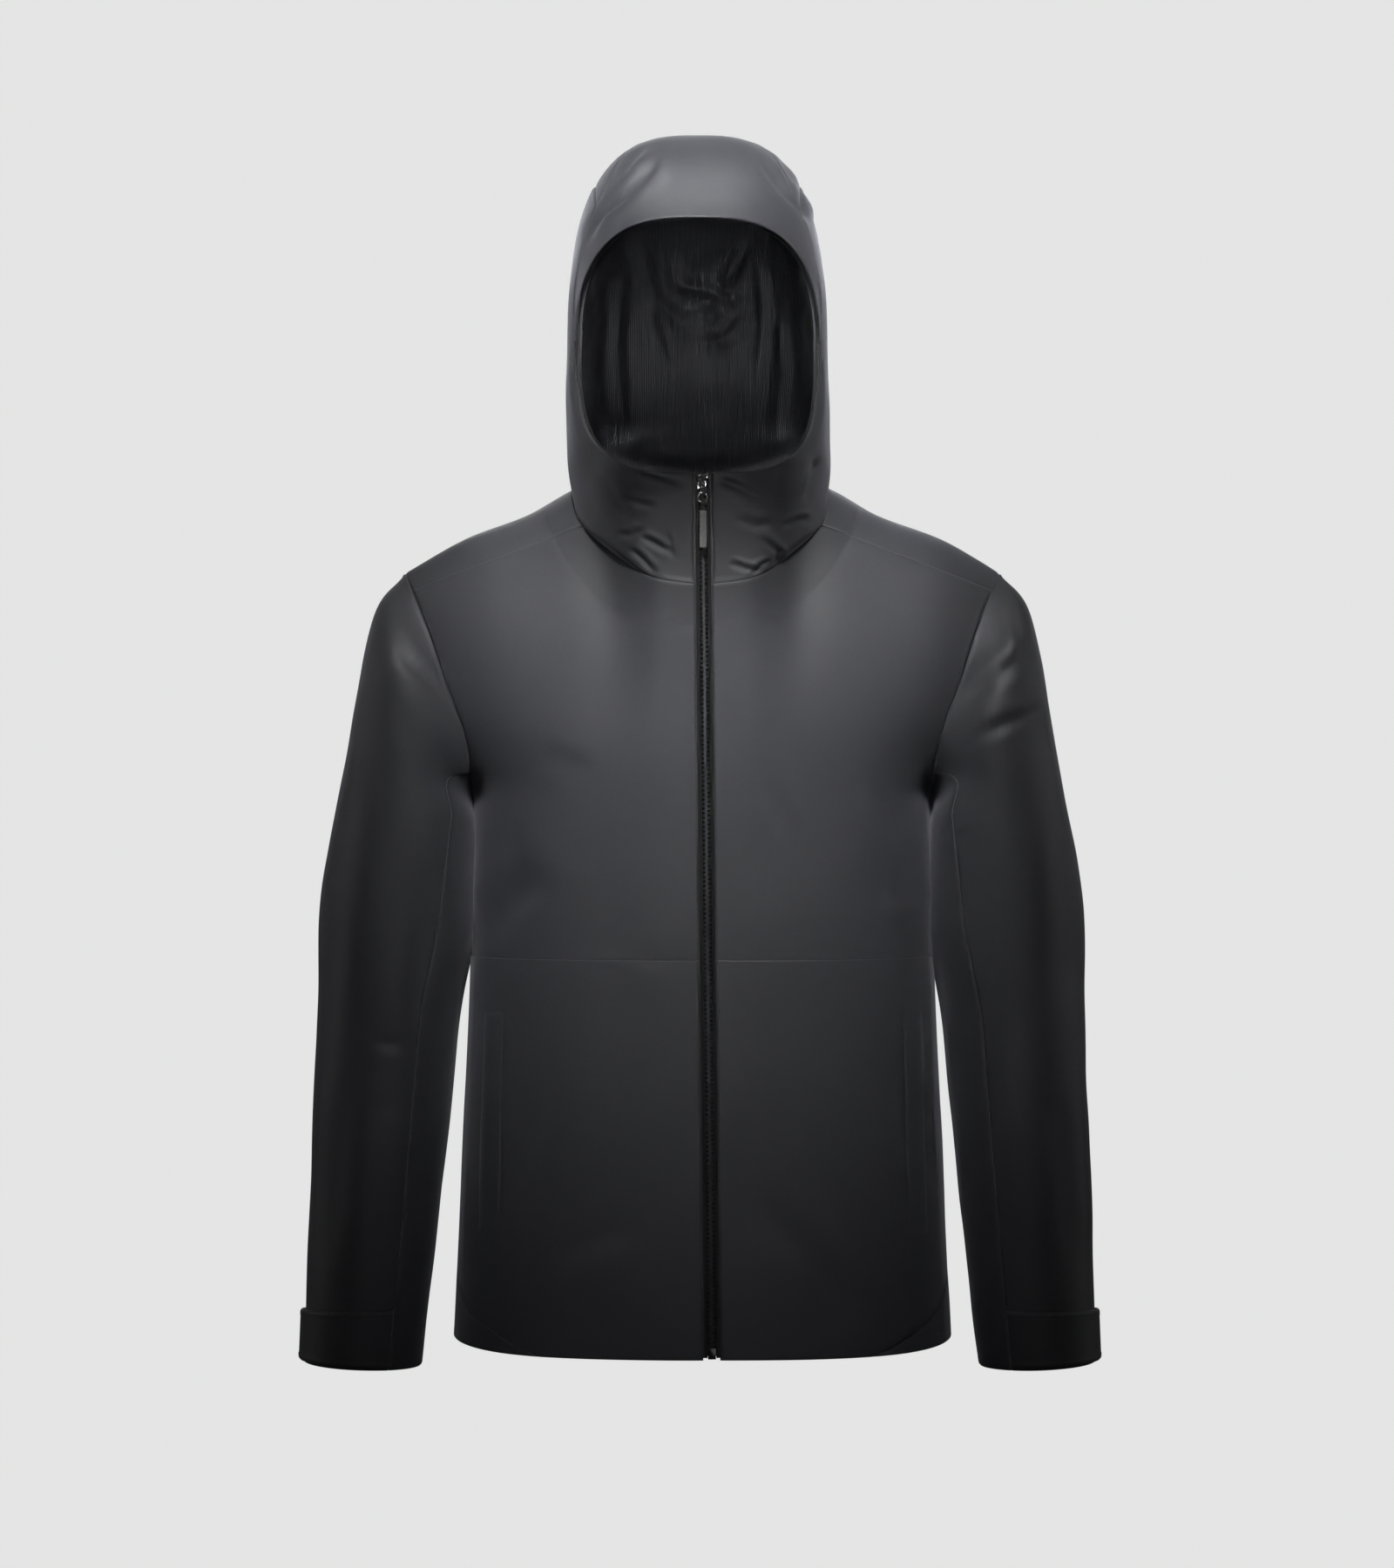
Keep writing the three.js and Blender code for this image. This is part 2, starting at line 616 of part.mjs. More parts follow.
// The pull turns on its own cross bar under the arch, and ends in a ring.
function sliderPull() {
  const disc = (radius) => plate(
    new THREE.Shape().absarc(0, -ringDrop, radius, 0, 2 * Math.PI),
    0,
    pullThickness,
  );
  const blade = new THREE.Shape()
    .moveTo(-2.8, 0.9).lineTo(2.8, 0.9).lineTo(2.8, -2.5).lineTo(2, -10).lineTo(-2, -10).lineTo(-2.8, -2.5);
  return cut(
    joined(plate(blade, 0, pullThickness), disc(ringRadius + ringBar / 2)),
    disc(ringRadius - ringBar / 2).scale(1, 2, 1),
    slab([-1.35, 1.35], [-pullThickness, pullThickness], [-5, -0.75]),
  );
}

// A loop of cord round the ring's lower bar, and the moulded tab below it.
const loopOuter = 2.6;
const loopInner = 1.75;
const neckLength = 4;
function pullCord() {
  const shape = new THREE.Shape().absarc(0, 0, loopOuter, 0, 2 * Math.PI);
  shape.holes.push(new THREE.Path().absarc(0, 0, loopInner, 0, 2 * Math.PI));
  const loop = new THREE.ExtrudeGeometry(shape, { depth: 3, bevelEnabled: false, curveSegments: 8 })
    .translate(0, 0, -1.5).rotateY(Math.PI / 2);
  return joined(loop, slab([-1.5, 1.5], [-0.8, 0.8], [-loopOuter - neckLength, -loopOuter + 0.4]));
}

function frontZip() {
  const foot = boxHeight + 2;
  const head = zipLength - stopHeight - 1.6;
  sides.forEach(([word, side]) => {
    const tapeAcross = span(side, tapeStart, tapeStart + tapeWidth);
    const tape = slab(tapeAcross, [tapeFront, tapeBack], [2, zipLength - 2]);
    const chain = span(side, chainInner, chainEnd);
    const stopFoot = head + touchGap;
    const stop = slab(chain, [0, chainBack + 0.2], [stopFoot, stopFoot + stopHeight - 1]);
    add(`zipper_tape_${word}`, tape, 'trim', zip);
    add(`zipper_teeth_${word}`, slab(chain, [chainFront, chainBack], [foot, head]), 'moulded', zip);
    add(`top_stop_${word}`, stop, 'moulded', zip);
  });
  const pinHalf = 0.9;
  const pinX = -(chainInner + chainEnd) / 2;
  const box = slab([-chainEnd, chainEnd], [chainFront - 0.6, chainBack + 0.6], [1, 1 + boxHeight]);
  const holeHalf = pinHalf + touchGap;
  const hole = slab([pinX - holeHalf, pinX + holeHalf], [chainFront, chainBack], [2, 3 + boxHeight]);
  const pinDepth = [chainFront + touchGap, chainBack - touchGap];
  const pin = slab([pinX - pinHalf, pinX + pinHalf], pinDepth, [2 + touchGap, foot - touchGap]);
  add('retaining_box', cut(box, hole), 'moulded', zip);
  add('insertion_pin', pin, 'moulded', zip);

  const slider = new THREE.Group();
  slider.position.z = head - touchGap - sliderHeight / 2;
  zip.add(slider);
  add('slider_body', sliderBody(), 'moulded', slider);
  const pull = new THREE.Group();
  pull.position.y = pinY;
  slider.add(pull);
  add('slider_pull', sliderPull(), 'moulded', pull);
  const strap = new THREE.Group();
  strap.position.z = -ringDrop - ringRadius;
  pull.add(strap);
  add('pull_cord', pullCord(), 'webbing', strap);
  const tabTop = -loopOuter - neckLength - touchGap;
  const tab = new THREE.Shape().moveTo(-tabWidth / 2 + 0.8, tabTop).lineTo(tabWidth / 2 - 0.8, tabTop)
    .lineTo(tabWidth / 2, tabTop - 1.5).lineTo(tabWidth / 2 + 0.3, tabTop - tabLength)
    .lineTo(-tabWidth / 2 - 0.3, tabTop - tabLength).lineTo(-tabWidth / 2, tabTop - 1.5);
  add('pull_tab', plate(tab, 0, 1.8), 'webbing', strap);

  // The storm flap is sewn along one side of the zip and lies behind it.
  const flapY = chainBack + sliderClearance + plateThickness + 1;
  const outer = tapeStart + tapeWidth;
  const flap = new THREE.Shape().moveTo(outer + 0.6, cloth + 0.9).lineTo(outer + 1.8, cloth + 0.9)
    .lineTo(outer + 1.8, flapY + facingCloth).lineTo(-outer, flapY + facingCloth).lineTo(-outer, flapY)
    .lineTo(outer + 0.6, flapY);
  const flapRun = { depth: zipLength - 12, bevelEnabled: false };
  add('storm_flap', new THREE.ExtrudeGeometry(flap, flapRun).translate(0, 0, 3), 'trim', zip);
}

// ---- The pockets: a slot in the front panel, a small zip behind it and a welt over it ----
function pocketLine(side) {
  const [head, foot] = [0, 1].map((i) => bodyAt(side, false, pocketX[i], pocketZ[i]));
  const middle = (pocketZ[0] + pocketZ[1]) / 2;
  const q = angleAt((pocketX[0] + pocketX[1]) / 2, middle);
  const step = 0.02;
  const across = body(side, false, q + step, middle).sub(body(side, false, q - step, middle));
  const outward = across.cross(head.clone().sub(foot)).multiplyScalar(side).normalize();
  return { head, foot, outward };
}

function pocket(word, side) {
  const { head, foot, outward } = pocketLine(side);
  const length = foot.distanceTo(head);
  const inset = new THREE.Group();
  inset.position.y = pocketZipInset;
  alongLine(foot, head, outward).add(inset);
  const k = pocketZipScale;
  const chainEdge = chainEnd * k;
  const tapeEdge = (chainEnd + tapeWidth) * k;
  const sliderEdge = sliderHalfWidth * k;
  const window = slab([-chainEdge - touchGap, chainEdge + touchGap], [-1, 9], [0, length]);
  const tapeHeight = [-pocketTapeEnd, length + pocketTapeEnd];
  const tape = slab([-tapeEdge, tapeEdge], [tapeFront * k, tapeBack * k], tapeHeight);
  add(`pocket_tape_${word}`, cut(tape, window), 'trim', inset);
  const teeth = slab([-chainEdge, chainEdge], [pocketTeethFront, pocketTeethBack], [2, length - 2]);
  add(`pocket_teeth_${word}`, teeth, 'moulded', inset);

  const slider = new THREE.Group();
  slider.position.z = length - pocketSliderDrop;
  inset.add(slider);
  const plateFront = pocketTeethFront - touchGap - pocketPlate;
  const height = [0, pocketSliderHeight];
  const flanges = sides.map(([, way]) => slab(span(way, chainEdge + touchGap, sliderEdge),
    [plateFront, tapeFront * k - touchGap], height));
  const face = slab([-sliderEdge, sliderEdge], [plateFront, plateFront + pocketPlate], height);
  add(`pocket_slider_${word}`, joined(face, ...flanges), 'moulded', slider);
}

function weltSurface(side) {
  return mirrored(side, (s, t) => {
    const x = lerp(pocketX[1], pocketX[0], t);
    const z = lerp(pocketZ[1] - 5, pocketZ[0] + 5, t);
    const q = angleAt(x, z);
    const turn = weltWidth / 120;
    return body(side, false, q + lerp(-0.4 * turn, 0.6 * turn, s), z);
  });
}

function pocketSlotTool(side) {
  const { head, foot, outward } = pocketLine(side);
  const box = new THREE.BoxGeometry(pocketSlot, 24, foot.distanceTo(head) + 1);
  const up = head.clone().sub(foot).normalize();
  const across = up.clone().cross(outward).normalize();
  const turn = new THREE.Matrix4().makeBasis(across, up.clone().cross(across), up);
  return box.applyMatrix4(turn.setPosition(head.clone().add(foot).multiplyScalar(0.5)));
}

const pocketBag = (side) => mirrored(side, (s, t) => {
  const q = lerp(0.28, 1.02, s);
  return body(side, false, q, lerp(hemFrontZ + 62, waistSeamZ - 30, t));
});

// ---- Cord locks: a cup fixed inside the cloth, and the button that is pressed into it ----
const lockRadius = 8;
const lockDepth = 6;
const lockBore = 5.2;
const buttonRadius = 4.7;
function cordLock(name, button, place, outward) {
  const group = new THREE.Group();
  group.quaternion.setFromUnitVectors(point(0, 0, 1), outward);
  group.position.copy(place);
  jacket.add(group);
  const line = (pairs) => pairs.map(([r, z]) => new THREE.Vector2(r, z));
  const cup = line([
    [0, -lockDepth], [lockRadius - 1, -lockDepth], [lockRadius, 1 - lockDepth], [lockRadius, -0.6],
    [lockRadius - 0.6, 0], [lockBore, 0], [lockBore, 1.4 - lockDepth], [0, 1.4 - lockDepth],
  ]);
  add(name, new THREE.LatheGeometry(cup, 20).rotateX(Math.PI / 2), 'moulded', group);
  const pressed = line([[0, -lockDepth + 3.4], [buttonRadius, -lockDepth + 3.4],
    [buttonRadius, 0.2], [buttonRadius - 0.5, 0.7], [0, 0.7]]);
  add(button, new THREE.LatheGeometry(pressed, 16).rotateX(Math.PI / 2), 'webbing', group);
}

// ---- Assembly ----
sides.forEach(([word, side]) => {
  const lower = sewn(frontLower(side), 10, 9);
  add(`front_lower_${word}`, cut(lower, pocketSlotTool(side)), 'shell');
  add(`front_chest_${word}`, sewn(frontChest(side), 11, 10), 'shell');
  add(`side_panel_${word}`, sewn(sidePanel(side), 8, 14, { gap: 1 }), 'shell');
  add(`shoulder_yoke_${word}`, sewn(shoulderYoke(side), 8, 8, { gap: 2.6 }), 'shell');
  add(`sleeve_outer_${word}`, sewn(sleeveOuter(side), 12, 14), 'shell');
  add(`sleeve_under_${word}`, sewn(sleeveUnder(side), 5, 14), 'shell');
  add(`hood_side_${word}`, sewn(hoodSide(side), 12, 10), 'shell');
  add(`cuff_facing_${word}`, sewn(cuffBand(side, 0.01, 0.99, 0, () => facingHeight), 22, 1,
    { thickness: facingCloth, lift: -cloth - 1.4 }), 'trim');
  add(`cuff_loop_patch_${word}`, sewn(cuffBand(side, 0.36, 0.74, 8, () => tabHeight - 10), 10, 1,
    { thickness: 0.7, lift: 1.8 }), 'trim');
  const tabTopEdge = (s) => lerp(tabHeight + 5, tabHeight - 6, s);
  const tab = cuffBand(side, frontSleeveSeam[1] + 0.006, tabReach, 2, tabTopEdge);
  add(`cuff_tab_${word}`, sewn(tab, 12, 1, { thickness: 1.4, lift: 3.8, gap: 0.2 }), 'shell');
  add(`pocket_welt_${word}`, sewn(weltSurface(side), 5, 9, { thickness: 0.7, lift: 2 }), 'shell');
  add(`pocket_bag_${word}`, sewn(pocketBag(side), 8, 6, { thickness: 1, lift: -9.5 }), 'trim');
  pocket(word, side);
});
add('back_panel', sewn(backPanel(), 20, 12), 'shell');
add('hood_crown', sewn(hoodCrown(), 10, 12, { gap: 1 }), 'shell');
add('hood_brim', sewn(hoodBrim(), 20, 4, { gap: 0.9 }), 'shell');
// A facing stands a cord's channel behind the cloth.
const behindChannel = { thickness: facingCloth, lift: -cloth / 2 - channelDepth - facingCloth / 2 };
add('hood_edge_facing', sewn(faceEdge(0.945, 0.995), 40, 1, behindChannel), 'trim');

// Round the hem: from the zip at 0, past the back at a half, to the zip again at 1.
function roundHem(share, above) {
  const quarter = 4 * share;
  const back = quarter > 1 && quarter < 3;
  const side = quarter < 2 ? 1 : -1;
  const toCentre = Math.abs(quarter - 2);
  const q = Math.PI / 2 * (back ? toCentre : 2 - toCentre);
  return body(side, back, q, hemZ(back, q) + above);
}
const hemStart = 0.05;
const hemBand = (s, t) => roundHem(lerp(hemStart, 1 - hemStart, 1 - s), lerp(1, hemFacingHeight, t));
const outwardHem = (s, t) => hemBand(1 - s, t);
add('hem_facing', sewn(outwardHem, 44, 1, behindChannel), 'trim');

function sunk(surface, s, t, depth) {
  return surface(s, t).addScaledVector(normalAt(surface, s, t), -depth);
}
const cordDepth = cloth / 2 + channelDepth - cordClearance - cordRadius;
function drawcord(surface, points, steps) {
  const route = Array.from({ length: points + 1 }, (_, i) => (
    sunk(surface, lerp(0.01, 0.99, i / points), 0.5, cordDepth)));
  return cordAlong(route, cordRadius, steps);
}
add('hem_drawcord', drawcord(outwardHem, 44, 44), 'webbing');
add('hood_drawcord', drawcord(faceEdge(0.945, 0.995), 28, 40), 'webbing');

sides.forEach(([word, side]) => {
  const collar = hoodSide(side);
  const near = side > 0 ? 0.17 : 0.83;
  const inside = normalAt(collar, near, 0.12);
  cordLock(`hood_cord_lock_${word}`, `hood_lock_button_${word}`,
    collar(near, 0.12).addScaledVector(inside, -cloth - 2.8), inside);
  const hemPlace = side > 0 ? 0.2 : 0.8;
  const outside = normalAt(outwardHem, hemPlace, 0.9);
  cordLock(`hem_cord_lock_${word}`, `hem_lock_button_${word}`,
    outwardHem(hemPlace, 1).addScaledVector(outside, -cloth - channelDepth - facingCloth - 1.4), outside);
});
frontZip();

// The hanger loop: a band sewn inside the nape, whose middle stands clear for a hook.
const loopBand = new THREE.Shape().moveTo(-30, -2).lineTo(-30, -6)
  .bezierCurveTo(-24, -24, 24, -24, 30, -6).lineTo(30, -2).lineTo(24, -2)
  .bezierCurveTo(18, -17, -18, -17, -24, -2);
add('hanger_loop', plate(loopBand, -9, 1.4, 10), 'webbing');

export default jacket;
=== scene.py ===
# %% [markdown]
# # A waterproof shell jacket
# A shell jacket is flat cloth made round by its seams. Each panel is cut flat, and where two panels
# meet, the seam bends them both. So this lesson first writes down the body's shape as a few formulas,
# then cuts every panel as a grid that lies on that shape. Neighbours share the same seam line exactly,
# which a sculpted mesh would not give.

# %% Load the frame
import json
import math

import bmesh
import bpy
import numpy as np
from mathutils import Matrix, Vector, noise

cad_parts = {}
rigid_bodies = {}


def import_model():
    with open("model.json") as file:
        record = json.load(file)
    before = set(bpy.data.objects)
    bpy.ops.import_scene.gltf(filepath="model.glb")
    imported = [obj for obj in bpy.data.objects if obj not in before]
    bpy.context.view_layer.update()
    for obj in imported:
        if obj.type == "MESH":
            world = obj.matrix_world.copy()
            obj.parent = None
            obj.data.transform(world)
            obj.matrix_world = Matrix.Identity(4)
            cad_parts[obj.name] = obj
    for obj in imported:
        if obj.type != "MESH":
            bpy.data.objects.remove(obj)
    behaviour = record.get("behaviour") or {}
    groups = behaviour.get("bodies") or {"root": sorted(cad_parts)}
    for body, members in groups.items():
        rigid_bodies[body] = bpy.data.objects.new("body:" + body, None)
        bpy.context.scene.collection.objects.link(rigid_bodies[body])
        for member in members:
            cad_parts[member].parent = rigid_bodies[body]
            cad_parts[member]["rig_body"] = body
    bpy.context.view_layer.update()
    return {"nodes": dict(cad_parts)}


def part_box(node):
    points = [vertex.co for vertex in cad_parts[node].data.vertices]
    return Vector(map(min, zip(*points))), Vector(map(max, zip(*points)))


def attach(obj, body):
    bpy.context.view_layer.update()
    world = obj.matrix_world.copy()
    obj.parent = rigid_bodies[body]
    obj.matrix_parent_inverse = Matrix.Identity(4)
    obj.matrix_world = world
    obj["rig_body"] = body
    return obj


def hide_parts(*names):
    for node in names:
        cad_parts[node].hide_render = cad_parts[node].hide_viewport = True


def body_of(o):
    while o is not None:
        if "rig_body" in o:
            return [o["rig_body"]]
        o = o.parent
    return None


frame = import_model()
MM = 0.001
SIDES = (("left", 1), ("right", -1))

# %% [markdown]
# ## Camera and studio
# The jacket hangs in the air in front of a plain pale sweep, level with a long lens, so that it looks
# as flat as in a catalogue. The sweep shines by itself but lights nothing: a dark cloth keeps its depth
# only when the light on it comes from the lamps. A sweep that bounced light would grey every edge.

# %% Camera
CAMERA_PLACE = (-0.0045, -3.563, -0.232)
FRAME_HEIGHT, CAMERA_DISTANCE = 1.35, 3.5
camera_data = bpy.data.cameras.new("camera")
camera_data.sensor_fit = "VERTICAL"
camera_data.sensor_height = 24
camera_data.lens = camera_data.sensor_height * CAMERA_DISTANCE / FRAME_HEIGHT
camera_data.clip_end = 40
camera = bpy.data.objects.new("camera", camera_data)
camera.location = CAMERA_PLACE
camera.rotation_euler = (math.pi / 2, 0, 0)
bpy.context.scene.collection.objects.link(camera)
bpy.context.scene.camera = camera
bpy.context.scene.view_settings.view_transform = "Standard"
print("lens", round(camera_data.lens, 1), "mm")

# %% [markdown]
# ## Materials in sentences
# A node tree is easier to read as arithmetic. `Wire` holds one socket and makes a Math node for each
# sign, and `Finish` holds one material and makes every other node by one method.

# %% A small language for materials
class Wire:
    """A socket that can stand in a sum or a product."""

    def __init__(self, finish, socket):
        self.finish = finish
        self.socket = socket

    def maths(self, operation, *values):
        return self.finish.node("Math", {"operation": operation}, dict(enumerate(values)))

    def __add__(self, other):
        return self.maths("ADD", self, other)

    def __radd__(self, other):
        return self.maths("ADD", other, self)

    def __mul__(self, other):
        return self.maths("MULTIPLY", self, other)

    def __rmul__(self, other):
        return self.maths("MULTIPLY", other, self)

    def sine(self):
        return self.maths("SINE", self)


class Finish:
    """A material with a Principled shader and a short way to add nodes to it."""

    def __init__(self, name, **constants):
        self.material = bpy.data.materials.new(name)
        self.material.use_nodes = True
        self.tree = self.material.node_tree
        self.shader = self.tree.nodes["Principled BSDF"]
        for socket, value in constants.items():
            self.shader.inputs[socket.replace("_", " ")].default_value = value
        self.material.diffuse_color = (0.03, 0.03, 0.035, 1)

    def node(self, kind, settings=None, sockets=None, output=0):
        node = self.tree.nodes.new("ShaderNode" + kind)
        for key, value in (settings or {}).items():
            setattr(node, key, value)
        for key, value in (sockets or {}).items():
            if isinstance(value, Wire):
                self.tree.links.new(value.socket, node.inputs[key])
            else:
                node.inputs[key].default_value = value
        return Wire(self, node.outputs[output])

    def noise(self, place, scale, detail=3, roughness=0.5):
        sockets = {"Vector": place, "Scale": scale, "Detail": detail, "Roughness": roughness}
        return self.node("TexNoise", None, sockets)

    def set(self, socket, wire):
        self.tree.links.new(wire.socket, self.shader.inputs[socket])

    def mix(self, share, one, other):
        sockets = {0: share, 6: one, 7: other}
        return self.node("Mix", {"data_type": "RGBA"}, sockets, output=2)

    def bump(self, height, strength, distance):
        sockets = {"Strength": strength, "Distance": distance, "Height": height}
        self.set("Normal", self.node("Bump", None, sockets))


def grey(value, blue=0.0):
    return (value, value * (1 + blue * 0.1), value * (1 + blue), 1)


# %% The sweep behind the jacket
FLOOR_HALF, BEND, WALL_HEIGHT = 7, 1, 9
SWEEP_PLACE = (0, -2, -1.25)


def of_kind(kind, geometry):
    return [part for part in geometry if isinstance(part, kind)]


def pale_sweep():
    mesh = bmesh.new()
    bmesh.ops.create_grid(mesh, x_segments=1, y_segments=1, size=FLOOR_HALF)
    far = [edge for edge in mesh.edges if all(v.co.y > FLOOR_HALF - 1 for v in edge.verts)]
    swept = bmesh.ops.spin(mesh, geom=far, cent=(0, FLOOR_HALF, BEND), axis=(1, 0, 0),
                           angle=math.pi / 2, steps=12)
    bend_end = of_kind(bmesh.types.BMEdge, swept["geom_last"])
    wall = bmesh.ops.extrude_edge_only(mesh, edges=bend_end)
    bmesh.ops.translate(mesh, vec=(0, 0, WALL_HEIGHT), verts=of_kind(bmesh.types.BMVert, wall["geom"]))
    bmesh.ops.translate(mesh, vec=SWEEP_PLACE, verts=mesh.verts)
    data = bpy.data.meshes.new("sweep")
    mesh.to_mesh(data)
    mesh.free()
    sweep = bpy.data.objects.new("sweep", data)
    bpy.context.scene.collection.objects.link(sweep)
    paper = Finish("pale_paper", Base_Color=grey(0.0), Roughness=1.0, Specular_IOR_Level=0.0)
    paper.shader.inputs["Emission Color"].default_value = (0.776, 0.783, 0.776, 1)
    paper.shader.inputs["Emission Strength"].default_value = 1.0
    data.materials.append(paper.material)
    sweep.visible_diffuse = sweep.visible_glossy = False


pale_sweep()

# %% Lamps
def softbox(name, place, target, width, height, power, spread=180):
    data = bpy.data.lights.new(name, "AREA")
    data.shape = "RECTANGLE"
    data.size, data.size_y, data.energy = width, height, power
    data.spread = math.radians(spread)
    lamp = bpy.data.objects.new(name, data)
    lamp.location = place
    lamp.rotation_euler = (Vector(target) - Vector(place)).to_track_quat("-Z", "Y").to_euler()
    bpy.context.scene.collection.objects.link(lamp)


KEY_PLACE = (0.0, -1.9, 1.85)


def flag(name, place, width, height):
    """A black card that shades the key lamp, as is done in a studio to keep light off a part."""
    mesh = bmesh.new()
    bmesh.ops.create_grid(mesh, x_segments=1, y_segments=1, size=0.5)
    bmesh.ops.scale(mesh, vec=(width, height, 1), verts=mesh.verts)
    beam = Vector(place) - Vector(KEY_PLACE)
    turn = Vector((0, beam.y, beam.z)).to_track_quat("Z", "X").to_matrix().to_4x4()
    upright = turn @ Matrix.Rotation(math.pi / 2, 4, "Z")
    bmesh.ops.transform(mesh, matrix=Matrix.Translation(place) @ upright, verts=mesh.verts)
    data = bpy.data.meshes.new(name)
    mesh.to_mesh(data)
    mesh.free()
    card = bpy.data.objects.new(name, data)
    bpy.context.scene.collection.objects.link(card)
    data.materials.append(Finish(name, Base_Color=grey(0.0), Roughness=1.0).material)
    card.visible_camera = card.visible_glossy = False


softbox("key_box", KEY_PLACE, (0, -0.1, 0.02), 0.4, 0.5, power=3.1, spread=20)
flag("collar_flag", (0.0, -0.5, 0.43), 0.19, 0.19)
for word, side in SIDES:
    flag(f"{word}_sleeve_flag", (0.575 * side, -1.0, 0.91), 0.8, 0.9)
softbox("hood_box", (0.0, -0.7, 1.4), (0, -0.08, 0.31), 0.2, 0.2, power=0.16, spread=14)
softbox("face_box", (0.0, -2.6, -0.25), (0, 0, 0.13), 0.3, 0.3, power=0.07, spread=8)
softbox("front_box", (0.0, -3.6, 0.1), (0, 0, -0.15), 1.6, 1.6, power=5.2)
softbox("left_box", (-2.4, 0.3, 0.2), (0, 0, -0.35), 0.4, 1.6, power=5.5)
softbox("right_box", (2.4, 0.3, 0.2), (0, 0, -0.35), 0.4, 1.6, power=5.5)
softbox("back_box", (0.0, 3.0, 1.4), (0, 0, -0.2), 2.4, 1.6, power=40)
world = bpy.data.worlds.new("studio")
world.use_nodes = True
world.node_tree.nodes["Background"].inputs["Color"].default_value = (0.78, 0.79, 0.79, 1)
world.node_tree.nodes["Background"].inputs["Strength"].default_value = 0.02
bpy.context.scene.world = world
print("seven lamps and three flags")

# %% [markdown]
# ## The shape of the wearer
# The body is an oval at every height, a little squarer than an ellipse. Three smooth functions give its
# half width, its depth and how it fades away over the shoulders. Everything else lies on this one
# surface, in millimetres, and becomes metres only when a mesh is made.

# %% Smooth functions
def through(*pairs):
    """A smooth function through (x, value) pairs."""
    xs, values = np.array(pairs, float).T
    low = np.maximum(np.arange(len(xs)) - 1, 0)
    high = np.minimum(np.arange(len(xs)) + 1, len(xs) - 1)
    slopes = (values[high] - values[low]) / (xs[high] - xs[low])

    def smooth(x):
        i = np.clip(np.searchsorted(xs, x) - 1, 0, len(xs) - 2)
        span = xs[i + 1] - xs[i]
        t = np.clip((x - xs[i]) / span, 0, 1)
        return ((2 * t**3 - 3 * t**2 + 1) * values[i] + (t**3 - 2 * t**2 + t) * slopes[i] * span
                + (3 * t**2 - 2 * t**3) * values[i + 1] + (t**3 - t**2) * slopes[i + 1] * span)

    return smooth


def lerp(a, b, share):
    return a + (b - a) * share


def power(value, exponent):
    return np.sign(value) * np.abs(value) ** exponent


def ramp(value, low, high):
    t = np.clip((value - low) / (high - low), 0, 1)
    return t * t * (3 - 2 * t)


def points(x, y, z):
    return np.stack(np.broadcast_arrays(x, y, z), -1).astype(float)


# %% Driving sizes of the torso, in millimetres
HEM_Z, HEM_SIDE_RISE, DROP_TAIL = -711, 5, 14
WAIST_SEAM_Z, ARMPIT_Z, CHIN_Z, NECK_FRONT_Z = -379, -245, 29, -66
HEM_HALF, CHEST_HALF = 214, 196
FRONT_DEPTH_HEM, FRONT_DEPTH_CHIN, BACK_DEPTH = 125, 106, 112
ROUNDNESS = 2.2
ZIP_STRIP, ZIP_OPENING, ZIP_DRIFT = 22, 7.0, 8
NECK_HALF, SHOULDER_HALF, SHOULDER_Z = 105, 255, -51


def flared(share):
    return lerp(CHEST_HALF, HEM_HALF, share)


body_half = through((HEM_Z, HEM_HALF), (-649, flared(0.78)), (-532, flared(0.5)), (-400, flared(0.17)),
                    (ARMPIT_Z, CHEST_HALF))
ridge = through((0, 46), (NECK_HALF, 23), (150, -1), (205, -22), (SHOULDER_HALF, SHOULDER_Z))
armhole_x = through((ARMPIT_Z, CHEST_HALF), (-195, 200), (-150, 216), (-100, 233),
                    (SHOULDER_Z, SHOULDER_HALF))


def half_width(z):
    above = np.maximum(z - ARMPIT_Z, 0) / 75
    return np.where(z <= ARMPIT_Z, body_half(z), CHEST_HALF + 84 * (1 - np.exp(-(above**1.6))))


def up_zip(z):
    return (z - HEM_Z) / (CHIN_Z - HEM_Z)


def front_depth(z):
    return lerp(FRONT_DEPTH_HEM, FRONT_DEPTH_CHIN, up_zip(z))


def drift(z):
    return ZIP_DRIFT * np.maximum(1 - up_zip(z), 0)


def shoulder_fade(back, x, z):
    below = np.maximum(ridge(x) - z, 0)
    fade = (1 - np.exp(-below / np.where(back, 100, 90))) ** 0.6
    beside = np.maximum(x - ZIP_STRIP, 0) / 40
    return np.where(back, fade, 1 - (1 - fade) * (1 - np.exp(-(beside**3))))


def past_strip(angle, strip, whole):
    return np.maximum(angle - strip, 0) * whole / (whole - strip)


def angle_at(x, z):
    return np.arcsin(np.minimum(x / half_width(z), 1) ** (ROUNDNESS / 2))


NAPE_DEPTH = float(BACK_DEPTH * shoulder_fade(True, 0.0, 0.0))


def body(side, back, q, z):
    """The body at the angle q from the centre line and the height z."""
    across = half_width(z) * power(np.sin(q), 2 / ROUNDNESS)
    strip = (ZIP_STRIP / CHEST_HALF) ** (ROUNDNESS / 2)
    turn = np.where(back, q, past_strip(q, strip, math.pi / 2))
    depth = (np.where(back, BACK_DEPTH, front_depth(z)) * power(np.cos(turn), 2 / ROUNDNESS)
             * shoulder_fade(back, across, z))
    shift = np.where(back, 0, drift(z) * (1 - across / half_width(z)))
    return points(side * across + shift, np.where(back, depth, -depth) - NAPE_DEPTH, z)


def body_at(side, back, x, z):
    return body(side, back, angle_at(x, z), z)


